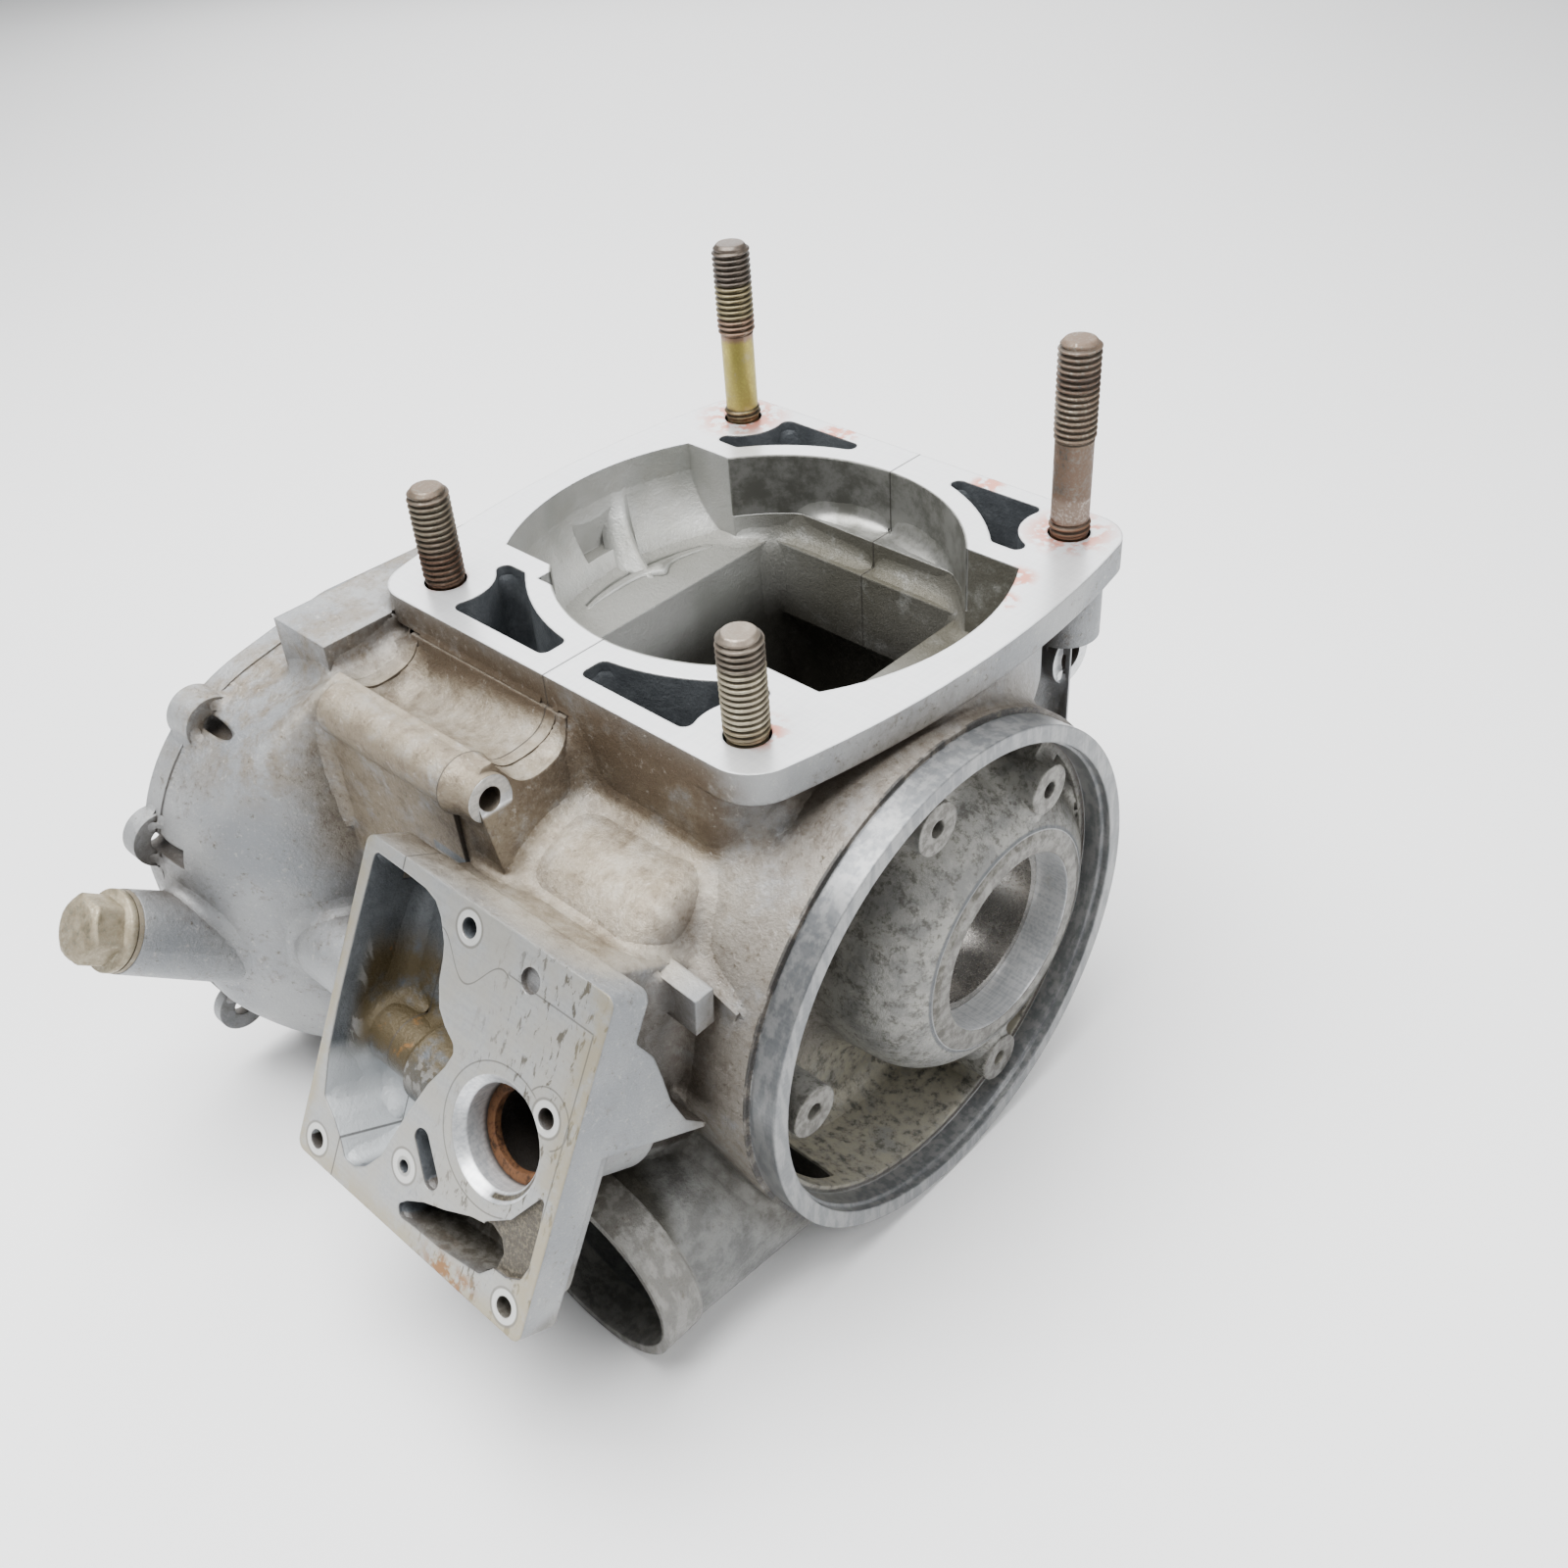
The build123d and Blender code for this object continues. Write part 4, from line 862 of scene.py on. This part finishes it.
def kept_sharp(p):
    """Points that machining keeps sharp: holes, bores, rims, flat faces and the joint."""
    x, y, z = p.T
    keep = z > DECK_Z - 3.0
    keep |= np.abs(x) < 0.8
    for sx, sy, _ in (FRONT_LEFT, FRONT_STUD, REAR_LEFT, REAR_STUD):
        keep |= (np.hypot(x - sx, y - sy) < 6.5) & (z > 50)
    below_top = p - np.array(FLANGE_TOP)
    down = below_top @ np.array(FLANGE_DOWN)
    depth = -below_top @ np.array(FLANGE_OUT)
    front = (x > FLANGE_LEFT - 3) & (x < FLANGE_RIGHT + 3) & (down > -3) & (down < FLANGE_LENGTH + 3)
    keep |= front & (np.abs(depth) < 1.6)
    for hx, hs in (*FLANGE_HOLES, KIDNEY_SLOT):
        keep |= front & (np.hypot(x - hx, down - hs) < 5.0) & (depth < 18)
    keep |= front & (np.hypot(x - PUMP_BORE[0], down - PUMP_BORE[1]) < PUMP_BORE_R + 3.0) & (depth < 36)
    ring = np.hypot(y - RING_Y, z - RING_Z)
    keep |= (x > RIM_BACK - 1.5) & (ring > CAVITY_R - 1)
    hub = np.hypot(y, z)
    keep |= (hub < BORE_R + 3.5) & (np.abs(x) > 36)
    for angle in BOSS_ANGLES:
        by = RING_Y + BOSS_RADIUS * math.cos(math.radians(angle))
        bz = RING_Z + BOSS_RADIUS * math.sin(math.radians(angle))
        keep |= (np.hypot(y - by, z - bz) < 4.5) & (x > 70)
    for (cy, cz), r, low, high in ((CASE_BOSS, 5.0, -16, 12), (REAR_LUG, 6.5, 30, 64),
                                   (GEAR, GEAR_R + 1.5, -60, 60)):
        keep |= (np.hypot(y - cy, z - cz) < r) & (x > low) & (x < high)
    for cy, cz in LUGS:
        keep |= (np.hypot(y - cy, z - cz) < 5.0) & (x < -80)
    keep |= x < COVER_X + 1.0
    axis = np.array(SPOUT_AXIS)
    from_spout = p - np.array(SPOUT)
    along = from_spout @ axis
    aside = np.linalg.norm(from_spout - along[:, None] * axis, axis=1)
    keep |= (aside < 9.0) | ((along > SPOUT_LENGTH - 2) & (aside < 16))
    seat = np.hypot(x, y - SEAT_Y)
    lobes = (seat > SEAT_R - 1.0) & (seat < LOBE_R + 2) & (np.abs(y - SEAT_Y) < 36)
    keep |= lobes & (z > LEDGE_Z + 1.5) & (z < DECK_Z)
    keep |= (y < DUCT_MOUTH_Y + 14) & (np.abs(x - DUCT_X) < 36) & (np.abs(z - DUCT_Z) < 30)
    return keep


def cast_fillets(node, material):
    """Strips that round the inner corners of a casting, as its mould leaves them."""
    coords, edges, squares = grid_of(node)
    a, b = edges.T
    count = len(coords)
    neighbours = np.bincount(a, minlength=count) + np.bincount(b, minlength=count)
    start = coords.copy()
    free = ~kept_sharp(coords)
    for turn in range(FILLET_ROUNDS):
        if turn % 4 == 0:
            normal = outward(coords, squares)
        total = np.stack([np.bincount(a, coords[b, k], count) + np.bincount(b, coords[a, k], count)
                          for k in range(3)], 1)
        move = total / neighbours[:, None] - coords
        bend = (move * normal).sum(1)
        go = free & (bend > FILLET_BEND)
        coords[go] += move[go] * FILLET_PACE
    risen = ((coords - start) * normal).sum(1)
    high = risen > FILLET_SHOWN
    kept = squares[high[squares].any(1)]
    sunk = np.clip((FILLET_RIM - risen) / FILLET_RIM, 0.0, 1.0)
    coords -= normal * (FILLET_SINK * sunk)[:, None]
    index = -np.ones(count, int)
    points = np.unique(kept)
    index[points] = np.arange(len(points))
    return new_piece(node + "_fillets", coords[points], index[kept].tolist(), material)


def paint(node, material):
    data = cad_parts[node].data
    data.materials.clear()
    data.materials.append(material)


casting = Casting("cast_aluminium").material()
paint("left_case_half", casting)
paint("right_case_half", casting)
cast_fillets("left_case_half", casting)
cast_fillets("right_case_half", casting)
lobe_web(casting)
ledge_ridge(casting)

sleeve_steel = steel_material("sleeve_steel", rgb(0.40, 0.385, 0.36), rgb(0.31, 0.295, 0.275),
                              rgb(0.2, 0.15, 0.1), 0.1, 0.16)
paint("crank_sleeve_left", sleeve_steel)
paint("crank_sleeve_right", sleeve_steel)
paint("pump_bore_seal", steel_material("rusty_steel", rgb(0.11, 0.06, 0.032), rgb(0.05, 0.03, 0.02),
                                       rgb(0.17, 0.07, 0.025), 0.7, 0.6))
paint("filler_plug_washer", steel_material("washer_metal", rgb(0.34, 0.32, 0.26), rgb(0.24, 0.22, 0.17),
                                           rgb(0.2, 0.14, 0.08), 0.5, 0.45))
plug_piece(steel_material("plug_steel", rgb(0.44, 0.41, 0.31), rgb(0.24, 0.215, 0.15),
                          rgb(0.16, 0.10, 0.05), 0.45, 0.42))

# Colours of the studs, from the heights above the deck where they start
DARK_BANDS = ((0.0, rgb(0.045, 0.022, 0.013)), (11.0, rgb(0.11, 0.10, 0.075)),
              (16.0, rgb(0.21, 0.20, 0.15)), (25.0, rgb(0.16, 0.14, 0.11)))
ZINC_BANDS = ((0.0, rgb(0.27, 0.23, 0.14)), (4.0, rgb(0.46, 0.42, 0.30)),
              (20.0, rgb(0.15, 0.135, 0.11)), (26.0, rgb(0.24, 0.21, 0.17)))
GOLD_BANDS = ((0.0, rgb(0.16, 0.12, 0.06)), (4.0, rgb(0.42, 0.36, 0.09)), (27.0, rgb(0.30, 0.19, 0.13)),
              (34.0, rgb(0.30, 0.26, 0.14)), (44.0, rgb(0.12, 0.105, 0.09)))
GREY_BANDS = ((0.0, rgb(0.12, 0.06, 0.035)), (5.0, rgb(0.36, 0.32, 0.28)), (12.0, rgb(0.15, 0.13, 0.11)),
              (28.0, rgb(0.25, 0.22, 0.17)), (43.0, rgb(0.07, 0.065, 0.06)), (48.0, rgb(0.20, 0.18, 0.15)))
PAST_TIP = REAR_STUD[2] * 2        # a thread that ends above its stud runs out over its tip

stud_piece("stud_front_left", FRONT_LEFT, ((0.6, PAST_TIP),), STUD_R - 0.5,
           stud_material("dark_stud", FRONT_LEFT, DARK_BANDS, 0.5))
stud_piece("stud_front_right", FRONT_STUD, ((0.6, PAST_TIP),), STUD_R - 0.5,
           stud_material("zinc_stud", FRONT_STUD, ZINC_BANDS, 0.3))
stud_piece("stud_rear_left", REAR_LEFT, ((0.6, 4.5), (28.0, PAST_TIP)), STUD_R - 0.75,
           stud_material("gold_stud", REAR_LEFT, GOLD_BANDS, 0.25))
stud_piece("stud_rear_right", REAR_STUD, ((0.6, 5.0), (28.0, PAST_TIP)), STUD_R - 0.5,
           stud_material("grey_stud", REAR_STUD, GREY_BANDS, 0.7))


def stage_and_light():
    floor_mesh = bpy.data.meshes.new("floor")
    corners = [(x * FLOOR_REACH, y * FLOOR_REACH, FLOOR_Z) for x, y in ((-1, -1), (1, -1), (1, 1), (-1, 1))]
    floor_mesh.from_pydata(corners, [], [(0, 1, 2, 3)])
    floor = bpy.data.objects.new("floor", floor_mesh)
    bpy.context.scene.collection.objects.link(floor)
    g = Graph("floor")
    tint = g.mix(g.noise(400.0, 2.0), rgb(0.90, 0.905, 0.91), rgb(0.93, 0.93, 0.93))
    floor_mesh.materials.append(g.finish(tint, 0.6, 0.0))

    world = bpy.data.worlds.new("studio")
    bpy.context.scene.world = world
    world.use_nodes = True
    sky = world.node_tree.nodes["Background"]
    sky.inputs["Color"].default_value = SKY
    sky.inputs["Strength"].default_value = SKY_STRENGTH

    for name, place, size, power in LAMPS:
        lamp = bpy.data.lights.new(name, "AREA")
        lamp.size = size
        lamp.energy = power
        holder = bpy.data.objects.new(name, lamp)
        holder.location = place
        holder.rotation_euler = (-Vector(place)).to_track_quat("-Z", "Y").to_euler()
        bpy.context.scene.collection.objects.link(holder)


def photo_camera():
    data = bpy.data.cameras.new("photo_camera")
    data.lens = CAMERA_LENS
    data.sensor_width = SENSOR
    data.clip_start = 0.01
    camera = bpy.data.objects.new("photo_camera", data)
    camera.location = CAMERA_PLACE
    camera.rotation_euler = Euler([math.radians(a) for a in CAMERA_TURN], "XYZ")
    bpy.context.scene.collection.objects.link(camera)
    bpy.context.scene.camera = camera


stage_and_light()
photo_camera()
